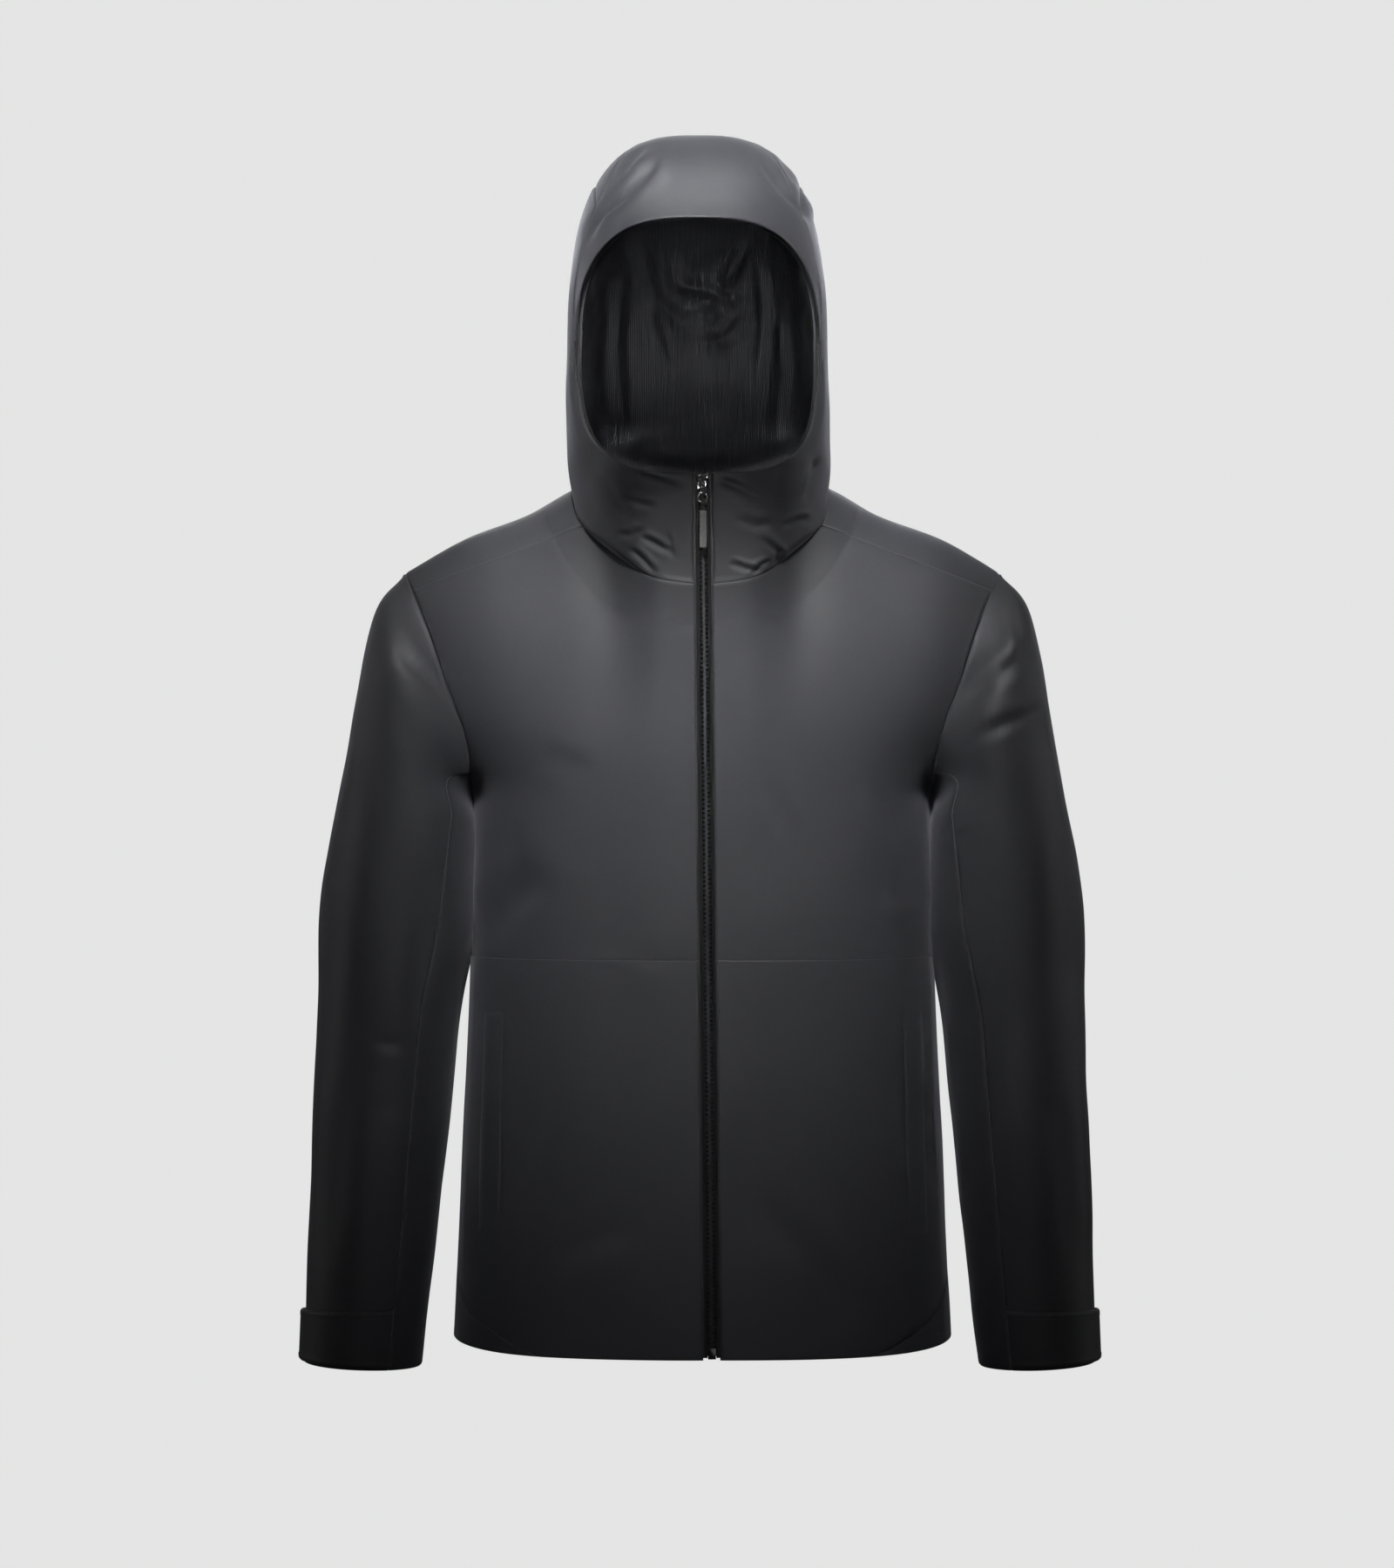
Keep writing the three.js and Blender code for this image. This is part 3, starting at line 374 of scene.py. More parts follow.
def hem_z(back, q):
    return np.where(back, HEM_Z - DROP_TAIL + (HEM_SIDE_RISE + DROP_TAIL) * np.sin(q) ** 4,
                    HEM_Z + HEM_SIDE_RISE * np.sin(q) ** 8)


print("nape stands", round(NAPE_DEPTH, 1), "mm behind the middle")

# %% [markdown]
# ## Seams
# A panel's outline is four lines on the body, each one a list of angles and heights. `patch` fills the
# inside of four such lines smoothly. The shoulder seams and the neck seam are written once, and every
# piece that is sewn to them asks the same function.

# %% Shared seams
def patch(bottom, top, left, right):
    def inside(s, t):
        rows = []
        for i in (0, 1):
            b0, b1 = bottom(0.0)[i], bottom(1.0)[i]
            t0, t1 = top(0.0)[i], top(1.0)[i]
            rows.append((1 - t) * bottom(s)[i] + t * top(s)[i] + (1 - s) * left(t)[i] + s * right(t)[i]
                        - (1 - t) * ((1 - s) * b0 + s * b1) - t * ((1 - s) * t0 + s * t1))
        return rows
    return inside


YOKE_NECK, YOKE_ARM = (101, -13), (247, -66.5)
BACK_NECK, BACK_ARM = (88, 10), (240, -90)


def yoke_front_z(x):
    return lerp(YOKE_NECK[1], YOKE_ARM[1], (x - YOKE_NECK[0]) / (YOKE_ARM[0] - YOKE_NECK[0]))


def yoke_back_z(x):
    return lerp(BACK_NECK[1], BACK_ARM[1], (x - BACK_NECK[0]) / (BACK_ARM[0] - BACK_NECK[0]))


def over_shoulder(side, x, k):
    drop = ridge(x) - np.where(k < 0, yoke_front_z(x), yoke_back_z(x))
    return body_at(side, k > 0, x, ridge(x) - drop * k * k)


NECK_SHARE, RIDGE_SHARE, BACK_SHARE = 0.407, 0.587, 0.709
neck_front_x = through((0, 0), (0.13, 44), (0.276, 77), (NECK_SHARE, YOKE_NECK[0]))
neck_front_z = through((0, NECK_FRONT_Z), (0.13, NECK_FRONT_Z + 7.5), (0.276, NECK_FRONT_Z + 31),
                       (NECK_SHARE, YOKE_NECK[1]))
neck_back_x = through((BACK_SHARE, BACK_NECK[0]), (0.855, 48), (1, 0))
neck_back_z = through((BACK_SHARE, BACK_NECK[1]), (0.855, 1), (1, 0))


def neck_seam(side, share):
    front = body_at(side, False, neck_front_x(share), neck_front_z(share))
    rear = body_at(side, True, neck_back_x(share), neck_back_z(share))
    before = (share - RIDGE_SHARE) / (RIDGE_SHARE - NECK_SHARE)
    after = (share - RIDGE_SHARE) / (BACK_SHARE - RIDGE_SHARE)
    k = np.clip(np.where(share < RIDGE_SHARE, before, after), -1, 1)
    x = np.where(share < RIDGE_SHARE, lerp(NECK_HALF, YOKE_NECK[0], -k), lerp(NECK_HALF, BACK_NECK[0], k))
    top = over_shoulder(side, x, k)
    pick = lambda mask, one, other: np.where(np.asarray(mask)[..., None], one, other)
    return pick(share <= NECK_SHARE, front, pick(share >= BACK_SHARE, rear, top))


SIDE_SEAM, SIDE_TURN, TURN_HEIGHT = math.radians(86), math.radians(47), 66
SIDE_BACK = math.radians(60)
CORNER_TOP = HEM_Z + TURN_HEIGHT


def side_front_angle(z):
    return SIDE_SEAM - SIDE_TURN * np.maximum((CORNER_TOP - z) / TURN_HEIGHT, 0) ** 1.35


def armhole_height(angle):
    """The height where the armhole passes an angle round the body, found by halving."""
    low = np.full(np.shape(angle), float(ARMPIT_Z))
    high = np.full(np.shape(angle), float(SHOULDER_Z))
    for _ in range(30):
        middle = (low + high) / 2
        above = angle_at(armhole_x(middle), middle) > angle
        low, high = np.where(above, middle, low), np.where(above, high, middle)
    return low


def bent_line(low, middle, high, share):
    return lambda t: np.where(t < share, lerp(low, middle, t / share),
                              lerp(middle, high, (t - share) / (1 - share)))


def mirrored(side, surface):
    return lambda s, t: surface(s if side > 0 else 1 - s, t)


def waist_seam(s):
    return lerp(angle_at(ZIP_OPENING, float(WAIST_SEAM_Z)), SIDE_SEAM, s), WAIST_SEAM_Z + 0 * s


def beside_zip(height):
    return lambda t: (angle_at(ZIP_OPENING, height(t)), height(t))


# %% The torso's panels as surfaces
def front_lower(side):
    corner = side_front_angle(float(HEM_Z))
    centre = bent_line(HEM_Z, CORNER_TOP, WAIST_SEAM_Z, 5 / 9)
    edge = bent_line(float(hem_z(False, corner)), CORNER_TOP, WAIST_SEAM_Z, 5 / 9)

    def bottom(s):
        q = lerp(angle_at(ZIP_OPENING, float(HEM_Z)), corner, s)
        return q, hem_z(False, q)

    grid = patch(bottom, waist_seam, beside_zip(centre), lambda t: (side_front_angle(edge(t)), edge(t)))
    return mirrored(side, lambda s, t: body(side, False, *grid(s**1.3, t)))


def front_chest(side):
    neck_part, start = 0.45, 0.02

    def top(s):
        share = lerp(start, NECK_SHARE, np.minimum(s / neck_part, 1))
        past_neck = (s - neck_part) / (1 - neck_part)
        x = np.where(s < neck_part, neck_front_x(share), lerp(YOKE_NECK[0], YOKE_ARM[0], past_neck))
        z = np.where(s < neck_part, neck_front_z(share), yoke_front_z(x))
        return angle_at(x, z), z

    edge = bent_line(WAIST_SEAM_Z, float(armhole_height(SIDE_SEAM)), YOKE_ARM[1], 0.4)
    centre = lambda t: lerp(WAIST_SEAM_Z, float(top(0.0)[1]), t)
    grid = patch(waist_seam, top, beside_zip(centre),
                 lambda t: (np.minimum(angle_at(armhole_x(edge(t)), edge(t)), SIDE_SEAM), edge(t)))
    return mirrored(side, lambda s, t: body(side, False, *grid(s**1.3, t)))


def side_panel(side):
    def surface(s, t):
        turned = lambda z: lerp(side_front_angle(z), math.pi - SIDE_BACK, s)
        edge = turned(float(HEM_Z))
        back = edge > math.pi / 2
        bottom = hem_z(back, np.where(back, math.pi - edge, edge))
        at_top = turned(float(ARMPIT_Z))
        top = armhole_height(np.minimum(at_top, math.pi - at_top))
        z = bent_line(bottom, CORNER_TOP, top, 5 / 14)(t)
        angle = turned(z)
        behind = angle > math.pi / 2
        return body(side, behind, np.where(behind, math.pi - angle, angle), z)
    return mirrored(side, surface)


def back_panel():
    neck_part = 0.32

    def top(s):
        near = np.minimum(s, 1 - s)
        share = lerp(1, BACK_SHARE, (0.5 - near) / (neck_part / 2))
        on_neck = near > 0.5 - neck_part / 2
        to_neck = near / (0.5 - neck_part / 2)
        x = np.where(on_neck, neck_back_x(share), lerp(BACK_ARM[0], BACK_NECK[0], to_neck))
        z = np.where(on_neck, neck_back_z(share), yoke_back_z(x))
        return np.where(s < 0.5, 1, -1) * angle_at(x, z), z

    height = bent_line(float(hem_z(True, SIDE_BACK)), float(armhole_height(SIDE_BACK)), BACK_ARM[1], 8 / 12)

    def edge(sign):
        def line(t):
            z = height(t)
            return sign * np.minimum(angle_at(armhole_x(z), z), SIDE_BACK), z
        return line

    def bottom(s):
        q = lerp(SIDE_BACK, -SIDE_BACK, s)
        return q, hem_z(True, np.abs(q))

    grid = patch(bottom, top, edge(1), edge(-1))

    def surface(s, t):
        q, z = grid(s, t)
        return body(np.where(q < 0, -1, 1), True, np.abs(q), z)
    return surface


def shoulder_yoke(side):
    def surface(s, t):
        k = 2 * t - 1
        inner = np.where(k < 0, lerp(NECK_HALF, YOKE_NECK[0], -k), lerp(NECK_HALF, BACK_NECK[0], k))
        outer = armhole_x(lerp(SHOULDER_Z, np.where(k < 0, YOKE_ARM[1], BACK_ARM[1]), k * k))
        return over_shoulder(side, lerp(inner, outer, s), k)
    return mirrored(side, surface)


# %% [markdown]
# ## Sleeves and hood
# A sleeve starts on the armhole's own curve and passes through six rings down the arm. The hood starts
# on the neck seam and opens into rings that tilt forward over the head. Both are two numbers wide:
# how far round, and how far along.

# %% The sleeve
CUFF_Z, CUFF_HALF = -724, 50
SLEEVE_RINGS = [  # room beside the body, y, z, way out in x, way out in z, half the depth
    (8, -3, -170, 39, 82, 74), (6, -4, -235, 50, 40, 74), (4.5, -6, -330, 61, 14, 72),
    (7.4, -12, -430, 60, 8, 68), (12.4, -25, -545, 56, 6, 61), (22, -42, CUFF_Z, CUFF_HALF, 2, 50)]
ARM_SWING = {1: -1, -1: 3}
FRONT_SLEEVE_SEAM, BACK_SLEEVE_SEAM = (0.11, 0.165), (0.89, 0.87)
TAB_HEIGHT, TAB_REACH, TURNUP_HEIGHT = 44, 0.64, 34


def armhole(side, around):
    z = lerp(ARMPIT_Z, SHOULDER_Z, (1 - np.cos(2 * math.pi * around)) / 2)
    return body_at(side, around > 0.5, armhole_x(z), z)


def along_rings(line, share):
    """A smooth curve through the rings of a line, for many points at once."""
    line = np.concatenate([[2 * line[0] - line[1]], line, [2 * line[-1] - line[-2]]])
    place = share * (len(line) - 3)
    i = np.clip(place.astype(int), 0, len(line) - 4)
    t = (place - i)[:, None]
    each = np.arange(len(share))
    p0, p1, p2, p3 = (line[i + k, each] for k in range(4))
    m1, m2 = (p2 - p0) / 2, (p3 - p1) / 2
    return ((2 * t**3 - 3 * t**2 + 1) * p1 + (t**3 - 2 * t**2 + t) * m1
            + (3 * t**2 - 2 * t**3) * p2 + (t**3 - t**2) * m2)


def sleeve(side, around, down):
    around, down = (np.asarray(v, float).ravel() for v in np.broadcast_arrays(around, down))
    turn = 2 * math.pi * around
    rings = [armhole(side, around % 1)]
    for i, (room, y, z, out_x, out_z, depth) in enumerate(SLEEVE_RINGS):
        edge = float(body_half(max(min(z, ARMPIT_Z), HEM_Z)))
        centre = edge + room + out_x + ARM_SWING[side] * i / (len(SLEEVE_RINGS) - 1)
        rings.append(points(side * (centre - out_x * np.cos(turn)), y - NAPE_DEPTH - depth * np.sin(turn),
                            z - out_z * np.cos(turn)))
    return along_rings(np.stack(rings), down)


def seam_around(ends, down):
    return lerp(ends[0], ends[1], np.minimum(down * 1.6, 1))


def sleeve_outer(side):
    return mirrored(side, lambda s, t: sleeve(side, lerp(
        seam_around(FRONT_SLEEVE_SEAM, 1 - t), seam_around(BACK_SLEEVE_SEAM, 1 - t), s), 1 - t))


def sleeve_under(side):
    return mirrored(side, lambda s, t: sleeve(side, lerp(
        seam_around(BACK_SLEEVE_SEAM, 1 - t) - 1, seam_around(FRONT_SLEEVE_SEAM, 1 - t), s), 1 - t))


PER_HEIGHT = (1 / 6) / (SLEEVE_RINGS[4][2] - CUFF_Z)


def cuff_band(side, start, end, low, high):
    def surface(s, t):
        return sleeve(side, lerp(start, end, s), 1 - PER_HEIGHT * lerp(low, high(s), t))
    return mirrored(side, surface)


# %% The hood
HOOD_HALF, FACE_HALF, BRIM_Z, CROWN_Z = 112, 103, 240, 324
HOOD_ROUND, HOOD_LEAN = 2.9, -4
profile_y = through((0, NAPE_DEPTH), (0.15, 92), (0.32, 106), (0.5, 92), (0.65, 50),
                    (0.78, -12), (0.9, -72), (1, -113))
profile_z = through((0, 0), (0.15, 60), (0.32, 140), (0.5, 235), (0.65, 300),
                    (0.78, CROWN_Z), (0.9, 294), (1, BRIM_Z))
hood_width = through((0, NECK_HALF), (0.3, 110), (0.6, HOOD_HALF), (0.85, 110), (1, FACE_HALF))
side_dip = through((0, 57), (0.25, 12), (0.5, -22), (0.75, -40), (1, -49))


def hood_ring(side, round_, up):
    turn = math.pi * round_
    chin_z = lerp(NECK_FRONT_Z, CHIN_Z, up)
    chin_y = -front_depth(chin_z)
    half_y, half_z = (profile_y(up) - chin_y) / 2, (profile_z(up) - chin_z) / 2
    length = np.hypot(half_y, half_z)
    strip = (ZIP_STRIP / NECK_HALF) ** (HOOD_ROUND / 2)
    settled = past_strip(turn, strip, math.pi)
    along = 1 - power(np.cos(settled), 2 / HOOD_ROUND)
    dip = side_dip(up) * np.sin(settled) ** 2 / length
    across = hood_width(up) * power(np.sin(turn), 2 / HOOD_ROUND)
    z = chin_z + half_z * along + half_y * dip
    lean = HOOD_LEAN * up * (2 - up) * np.sin(np.minimum(turn, math.pi / 2)) ** 2
    return points(side * across + lean + drift(z) * (1 - across / hood_width(up)),
                  chin_y + half_y * along - half_z * dip - NAPE_DEPTH, z)


def hood(side, round_, up):
    miss = neck_seam(side, round_) - hood_ring(side, round_, 0 * up)
    return hood_ring(side, round_, up) + miss * ((1 - up) ** 3)[..., None]


def zip_edge_round(up):
    return np.arcsin((ZIP_OPENING / hood_width(up)) ** (HOOD_ROUND / 2)) / math.pi


crown_seam = through((0, 0.84), (0.4, 0.78), (0.8, 0.75), (1, 0.745))
brim_seam = through((0.44, 1), (0.52, 0.965), (0.62, 0.94), (0.775, 0.89), (0.91, 0.77), (1, 0.745))


NECK_EDGE_ROUND = 0.0205


def hood_side(side):
    def surface(s, t):
        round_, up = 0 * s, t + 0 * s
        for _ in range(6):
            start = lerp(zip_edge_round(up), NECK_EDGE_ROUND, (1 - up) ** 3)
            round_ = lerp(start, crown_seam(up), s**1.3)
            up = t * np.where(round_ < 0.44, 1, brim_seam(round_))
        return hood(side, round_, up)
    return mirrored(side, surface)


def over_top(end, share):
    a = 2 * share - 1
    return np.where(a < 0, -1, 1), 1 - (1 - end) * np.abs(a)


def hood_crown(s, t):
    side, round_ = over_top(crown_seam(0.0), 1 - s)
    up = t + 0 * s
    for _ in range(6):
        _, round_ = over_top(crown_seam(up), 1 - s)
        up = t * brim_seam(round_)
    return hood(side, round_, up)


def hood_brim(s, t):
    side, round_ = over_top(0.52, 1 - s)
    return hood(side, round_, lerp(brim_seam(round_), 1, t))


def face_edge(low, high):
    def surface(s, t):
        side, round_ = over_top(0.035, 1 - s)
        return hood(side, round_, lerp(low, high, t))
    return surface


print("crown reaches", round(float(hood_crown(np.array([0.5]), np.array([0.8]))[0, 2])), "mm")

# %% [markdown]
# ## Folds
# Real cloth is pulled flat between its seams and folds only where there is too much of it: at the elbow,
# in the armpit, over a pocket. Each fold here is a line drawn on the front or the back of the jacket,
# with a width and a depth. The cloth sinks along the line and rises a little beside it, and the fold
# fades towards its ends. Cloth simulation also makes folds, but not where they are wanted.

# %% One fold, and slow unevenness
def fold(line, width, depth, back=False, one_sided=0.6, ends=0.3):
    return {"line": np.array(line, float), "width": width, "depth": depth, "back": back,
            "beside": one_sided, "ends": ends}


def back_fold(line, width, depth, one_sided=0.6, ends=0.3):
    return fold(line, width, depth, True, one_sided, ends)


RISE_AWAY, RISE_WIDTH = 1.7, 1.1
FAR_RISE, FAR_AWAY, FAR_WIDTH = 0.35, 2.0, 1.3


def fold_heights(places, outward, folds):
    """How far each place sinks or rises, in millimetres. A fold's sizes are shares of its own width."""
    total = np.zeros(len(places))
    flat = places[:, [0, 2]]
    for f in folds:
        nearest = np.full(len(flat), 1e9)
        signed, along = np.zeros(len(flat)), np.zeros(len(flat))
        for i, (a, b) in enumerate(zip(f["line"][:-1], f["line"][1:])):
            run = b - a
            t = np.clip((flat - a) @ run / (run @ run), 0, 1)
            away = flat - a - t[:, None] * run
            distance = np.hypot(*away.T)
            closer = distance < nearest
            side = np.sign(run[0] * away[:, 1] - run[1] * away[:, 0])
            nearest = np.where(closer, distance, nearest)
            signed = np.where(closer, distance * side, signed)
            along = np.where(closer, (i + t) / (len(f["line"]) - 1), along)
        facing = outward[:, 1] * (1 if f["back"] else -1)
        fade = ramp(facing, -0.15, 0.12) * ramp(along, 0, f["ends"]) * ramp(1 - along, 0, f["ends"])
        w = f["width"]
        shape = (-np.exp(-((nearest / w) ** 2))
                 + f["beside"] * np.exp(-(((signed - RISE_AWAY * w) / (RISE_WIDTH * w)) ** 2))
                 + FAR_RISE * f["beside"] * np.exp(-(((signed + FAR_AWAY * w) / (FAR_WIDTH * w)) ** 2)))
        total += f["depth"] * shape * fade
    return total


def unevenness(places, wavelength, height, seed):
    return height * np.array([noise.noise(Vector(p) / wavelength + Vector((seed, 0, 0))) for p in places])


# %% [markdown]
# ## A panel of cloth
# Every panel starts as a flat grid from `create_grid`, with its lines closer together near the edges,
# and is then laid on its surface. A seam is a shallow valley: the cloth stands a little proud of the seam
# line and dips towards it, fully at most seams and by a share at the waist and the neck. A free edge is
# turned under. Solidify gives the thickness and, on the inside, the lining's material. The cloth's own
# UV map is in metres, so a weave keeps its scale on every panel.

# %% Cloth laid on a surface
CLOTH, PROUD = 0.9, 0.75
NEAR_EDGE = np.array([0, 0.6, 1.2, 2.0, 3.0, 4.4, 6.2])
VALLEY_WIDTH, TURNED_UNDER, TURNED_WIDTH = 1.3, 1.1, 0.9
SLOW_WAVE, QUICK_WAVE = (95, 1.5), (38, 0.45)


def spaced(length, step):
    """Shares of a length, closer together near both ends."""
    near = NEAR_EDGE / length
    middle = np.linspace(near[-1], 1 - near[-1], max(int((length - 12) / step), 4) + 1)
    return np.concatenate([near[:-1], middle, 1 - near[-2::-1]])


def lengths(grid, axis):
    steps = np.linalg.norm(np.diff(grid, axis=axis), axis=2)
    return np.insert(np.cumsum(steps, axis=axis), 0, 0, axis=axis)


def outward_of(surface, s, t, step=0.004):
    s0, s1 = np.maximum(s - step, 0), np.minimum(s + step, 1)
    t0, t1 = np.maximum(t - step, 0), np.minimum(t + step, 1)
    cross = np.cross(surface(s1, t) - surface(s0, t), surface(s, t1) - surface(s, t0))
    return cross / np.maximum(np.linalg.norm(cross, axis=1, keepdims=True), 1e-9)


def as_object(name, mesh, materials, smooth=True):
    data = bpy.data.meshes.new(name)
    mesh.to_mesh(data)
    mesh.free()
    for material in materials:
        data.materials.append(material)
    data.polygons.foreach_set("use_smooth", [smooth] * len(data.polygons))
    piece = bpy.data.objects.new(name, data)
    bpy.context.scene.collection.objects.link(piece)
    return piece


def lay_cloth(name, surface, size, materials, step=5, lift=0.0, thickness=CLOTH, seams="lrbt", free="",
              dips=None, quiet=9, bands=(), folds=(), relief=None, wander=1.0, seed=0.0, ceiling=99):
    """A panel of the size (wide, high) in millimetres. bands are (edge, width, height) strips of double
    cloth. dips says how deep a seam's valley is, as a share. Cloth within quiet of a seam is pulled flat.
    No place rises above the ceiling."""
    s_line, t_line = spaced(size[0], step), spaced(size[1], step)
    mesh = bmesh.new()
    bmesh.ops.create_grid(mesh, x_segments=len(s_line) - 1, y_segments=len(t_line) - 1, size=0.5)
    s, t = (g.ravel() for g in np.meshgrid(s_line, t_line))
    places, outward = surface(s, t), outward_of(surface, s, t)
    grid = places.reshape(len(t_line), len(s_line), 3)
    across, upward = lengths(grid, 1), lengths(grid, 0)
    edge = {"l": across, "r": across[:, -1:] - across, "b": upward, "t": upward[-1:] - upward}
    height, still = np.full(len(places), PROUD), np.ones(len(places))
    for name_of_edge, away in edge.items():
        away = away.ravel()
        if name_of_edge in seams:
            dip = (dips or {}).get(name_of_edge, 1)
            height *= 1 - dip * np.exp(-((away / VALLEY_WIDTH) ** 1.6))
            still *= 1 - np.exp(-((away / quiet) ** 2))
        if name_of_edge in free:
            height -= TURNED_UNDER * np.exp(-((away / TURNED_WIDTH) ** 1.4))
    for name_of_edge, wide, high in bands:
        away = edge[name_of_edge].ravel()
        height += high * ramp(away, 0.4, 1.6) * (1 - ramp(away, wide - 0.5, wide + 0.5))
    if wander:
        waves = unevenness(places, *SLOW_WAVE, seed) + unevenness(places, *QUICK_WAVE, seed + 7)
        height += wander * still * waves
    if folds:
        height += still * fold_heights(places, outward, folds)
    if relief:
        height += still * relief(places, outward, s, t)
    places = places + outward * np.minimum(height + lift, ceiling)[:, None]
    mesh.verts.ensure_lookup_table()
    for vertex, place in zip(mesh.verts, places * MM):
        vertex.co = place
    piece = as_object(name, mesh, materials)
    ids = np.empty(len(piece.data.loops), np.int32)
    piece.data.loops.foreach_get("vertex_index", ids)
    flat = np.stack([(across - across.mean(1, keepdims=True)).ravel(), upward.ravel()], -1) * MM
    piece.data.uv_layers.new(name="cloth").data.foreach_set("uv", flat[ids].ravel())
    wall = piece.modifiers.new("wall", "SOLIDIFY")
    wall.thickness, wall.offset = thickness * MM, -1
    wall.material_offset = len(materials) - 1
    piece["flat"] = (float(across[:, -1].max() * MM), float(upward[-1].max() * MM))
    cells = np.linalg.norm(np.cross(np.diff(grid, axis=1)[:-1], np.diff(grid, axis=0)[:, :-1]), axis=2)
    piece["area"] = float(cells.sum() * MM * MM)
    return piece


def inner_and_outer(side):
    """The names of a front panel's edges, at the zip and away from it."""
    return ("l", "r") if side > 0 else ("r", "l")


def sew(piece, node, body_name="garment"):
    """Hangs a panel on its body and hides the CAD node, if one is given, that the panel replaces."""
    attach(piece, body_name)
    if node:
        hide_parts(*([node] if isinstance(node, str) else node))


# %% [markdown]
# ## Cloth finishes
# The outer cloth is a tight, smooth weave with a matt water-repellent face: dark, a little bluish, with
# a faint sheen at a low angle. Its threads are too fine to model, so a bump stands for them, and a slow
# noise varies the colour as dye does. Two finer noises are its grain. The lining is a black knit with
# fine ribs that shine a little.

# %% Shell cloth
def woven(name, colour, roughness, thread=0.00075, strength=0.12, blotch=0.25):
    finish = Finish(name, Specular_IOR_Level=0.32, Sheen_Weight=0.16, Sheen_Roughness=0.42)
    finish.shader.inputs["Sheen Tint"].default_value = (0.88, 0.88, 1.0, 1)
    uv = finish.node("UVMap", {"uv_map": "cloth"})
    place = finish.node("TexCoord", output=3)
    threads = 2 * math.pi / thread
    u = finish.node("SeparateXYZ", None, {0: uv}, output=0)
    v = finish.node("SeparateXYZ", None, {0: uv}, output=1)
    weave = (u * threads).sine() * (v * threads).sine()
    grain = finish.noise(place, 1400, 4, 0.6)
    slow = finish.noise(place, 9)
    speck = finish.noise(place, 620, 2, 0.7)
    dark = tuple(c * (1 - blotch) for c in colour[:3]) + (1,)
    light = tuple(c * (1 + blotch) for c in colour[:3]) + (1,)
    finish.set("Base Color", finish.mix(slow * 0.3 + grain * 0.3 + speck * 0.4, dark, light))
    finish.set("Roughness", slow * 0.06 + grain * 0.05 + (roughness - 0.055))
    finish.bump(weave * 0.35 + grain, strength, 0.0006)
    return finish.material


shell = woven("shell_cloth", grey(0.034, 0.16), 0.56)
trim_cloth = woven("trim_cloth", grey(0.014, 0.05), 0.7, thread=0.0011)


# %% Lining and tape
def ribbed_lining(name, colour, rib=0.0022, knit_row=0.0016):
    finish = Finish(name, Specular_IOR_Level=0.5, Sheen_Weight=0.25, Sheen_Roughness=0.35)
    uv = finish.node("UVMap", {"uv_map": "cloth"})
    place = finish.node("TexCoord", output=3)
    u = finish.node("SeparateXYZ", None, {0: uv}, output=0)
    v = finish.node("SeparateXYZ", None, {0: uv}, output=1)
    ribs = (u * (2 * math.pi / rib) + finish.noise(place, 60, 2) * 1.5).sine()
    knit = (v * (2 * math.pi / knit_row)).sine()
    fibre = finish.noise(place, 900)
    share = ribs * 0.3 + fibre * 0.4 + 0.2
    finish.set("Base Color", finish.mix(share, grey(colour * 0.7, 0.3), grey(colour * 1.4, 0.3)))
    finish.set("Roughness", ribs * -0.08 + fibre * 0.15 + 0.36)
    finish.bump(ribs * 0.6 + knit * 0.2 + fibre * 0.5, 0.3, 0.0009)
    return finish.material


lining = ribbed_lining("ribbed_lining", 0.03)
lined_shell = [shell, lining]
print("cloth finishes ready")

# %% [markdown]
# ## The torso
# Two lower fronts, two chest panels, an underarm panel at each side, one back with a drop tail, and a
# yoke that wraps each shoulder. The fronts are cut low and high because the seam between them hides the
# shaping of the chest.

# %% Where the torso folds
torso_folds = [
    fold([(-62, -328), (-75, -370), (-68, -440)], 16, 2.2),
    fold([(-38, -590), (-95, -612), (-150, -642)], 12, 2.7),
    fold([(-12, -545), (-45, -575), (-60, -590)], 9, 1.4),
    fold([(37, -567), (92, -635), (145, -698)], 13, 2.5),
    fold([(168, -455), (172, -520), (180, -565)], 9, 2.7),
    fold([(60, -470), (48, -560), (66, -640)], 18, 1.9),
    fold([(-198, -372), (-160, -330), (-120, -300)], 15, 3.1),
    fold([(-140, -205), (-112, -216), (-88, -224)], 9, 2.0),
    fold([(-190, -250), (-165, -305), (-138, -345)], 17, 3.2),
    fold([(195, -300), (172, -322), (150, -333)], 10, 2.9),
    fold([(46, -220), (62, -250), (78, -280)], 9, 1.4),
    fold([(134, -220), (140, -240), (146, -255)], 8, 1.5),
    fold([(190, -250), (165, -300), (135, -350)], 17, 2.9),
    fold([(-150, -420), (-140, -500), (-155, -580)], 14, 2.0)]
back_folds = [
    back_fold([(-150, -130), (-60, -160), (40, -150)], 20, 2.2),
    back_fold([(150, -150), (70, -185), (-20, -190)], 18, 1.8),
    back_fold([(-120, -330), (-20, -360), (90, -345)], 16, 2.0),
    back_fold([(110, -430), (20, -455), (-80, -440)], 18, 1.8),
    back_fold([(-60, -500), (-75, -600), (-60, -690)], 20, 1.8),
    back_fold([(70, -520), (82, -610), (70, -700)], 20, 1.6),
    back_fold([(-170, -220), (-120, -290), (-90, -350)], 14, 2.0),
    back_fold([(170, -230), (125, -300), (95, -360)], 14, 2.0)]

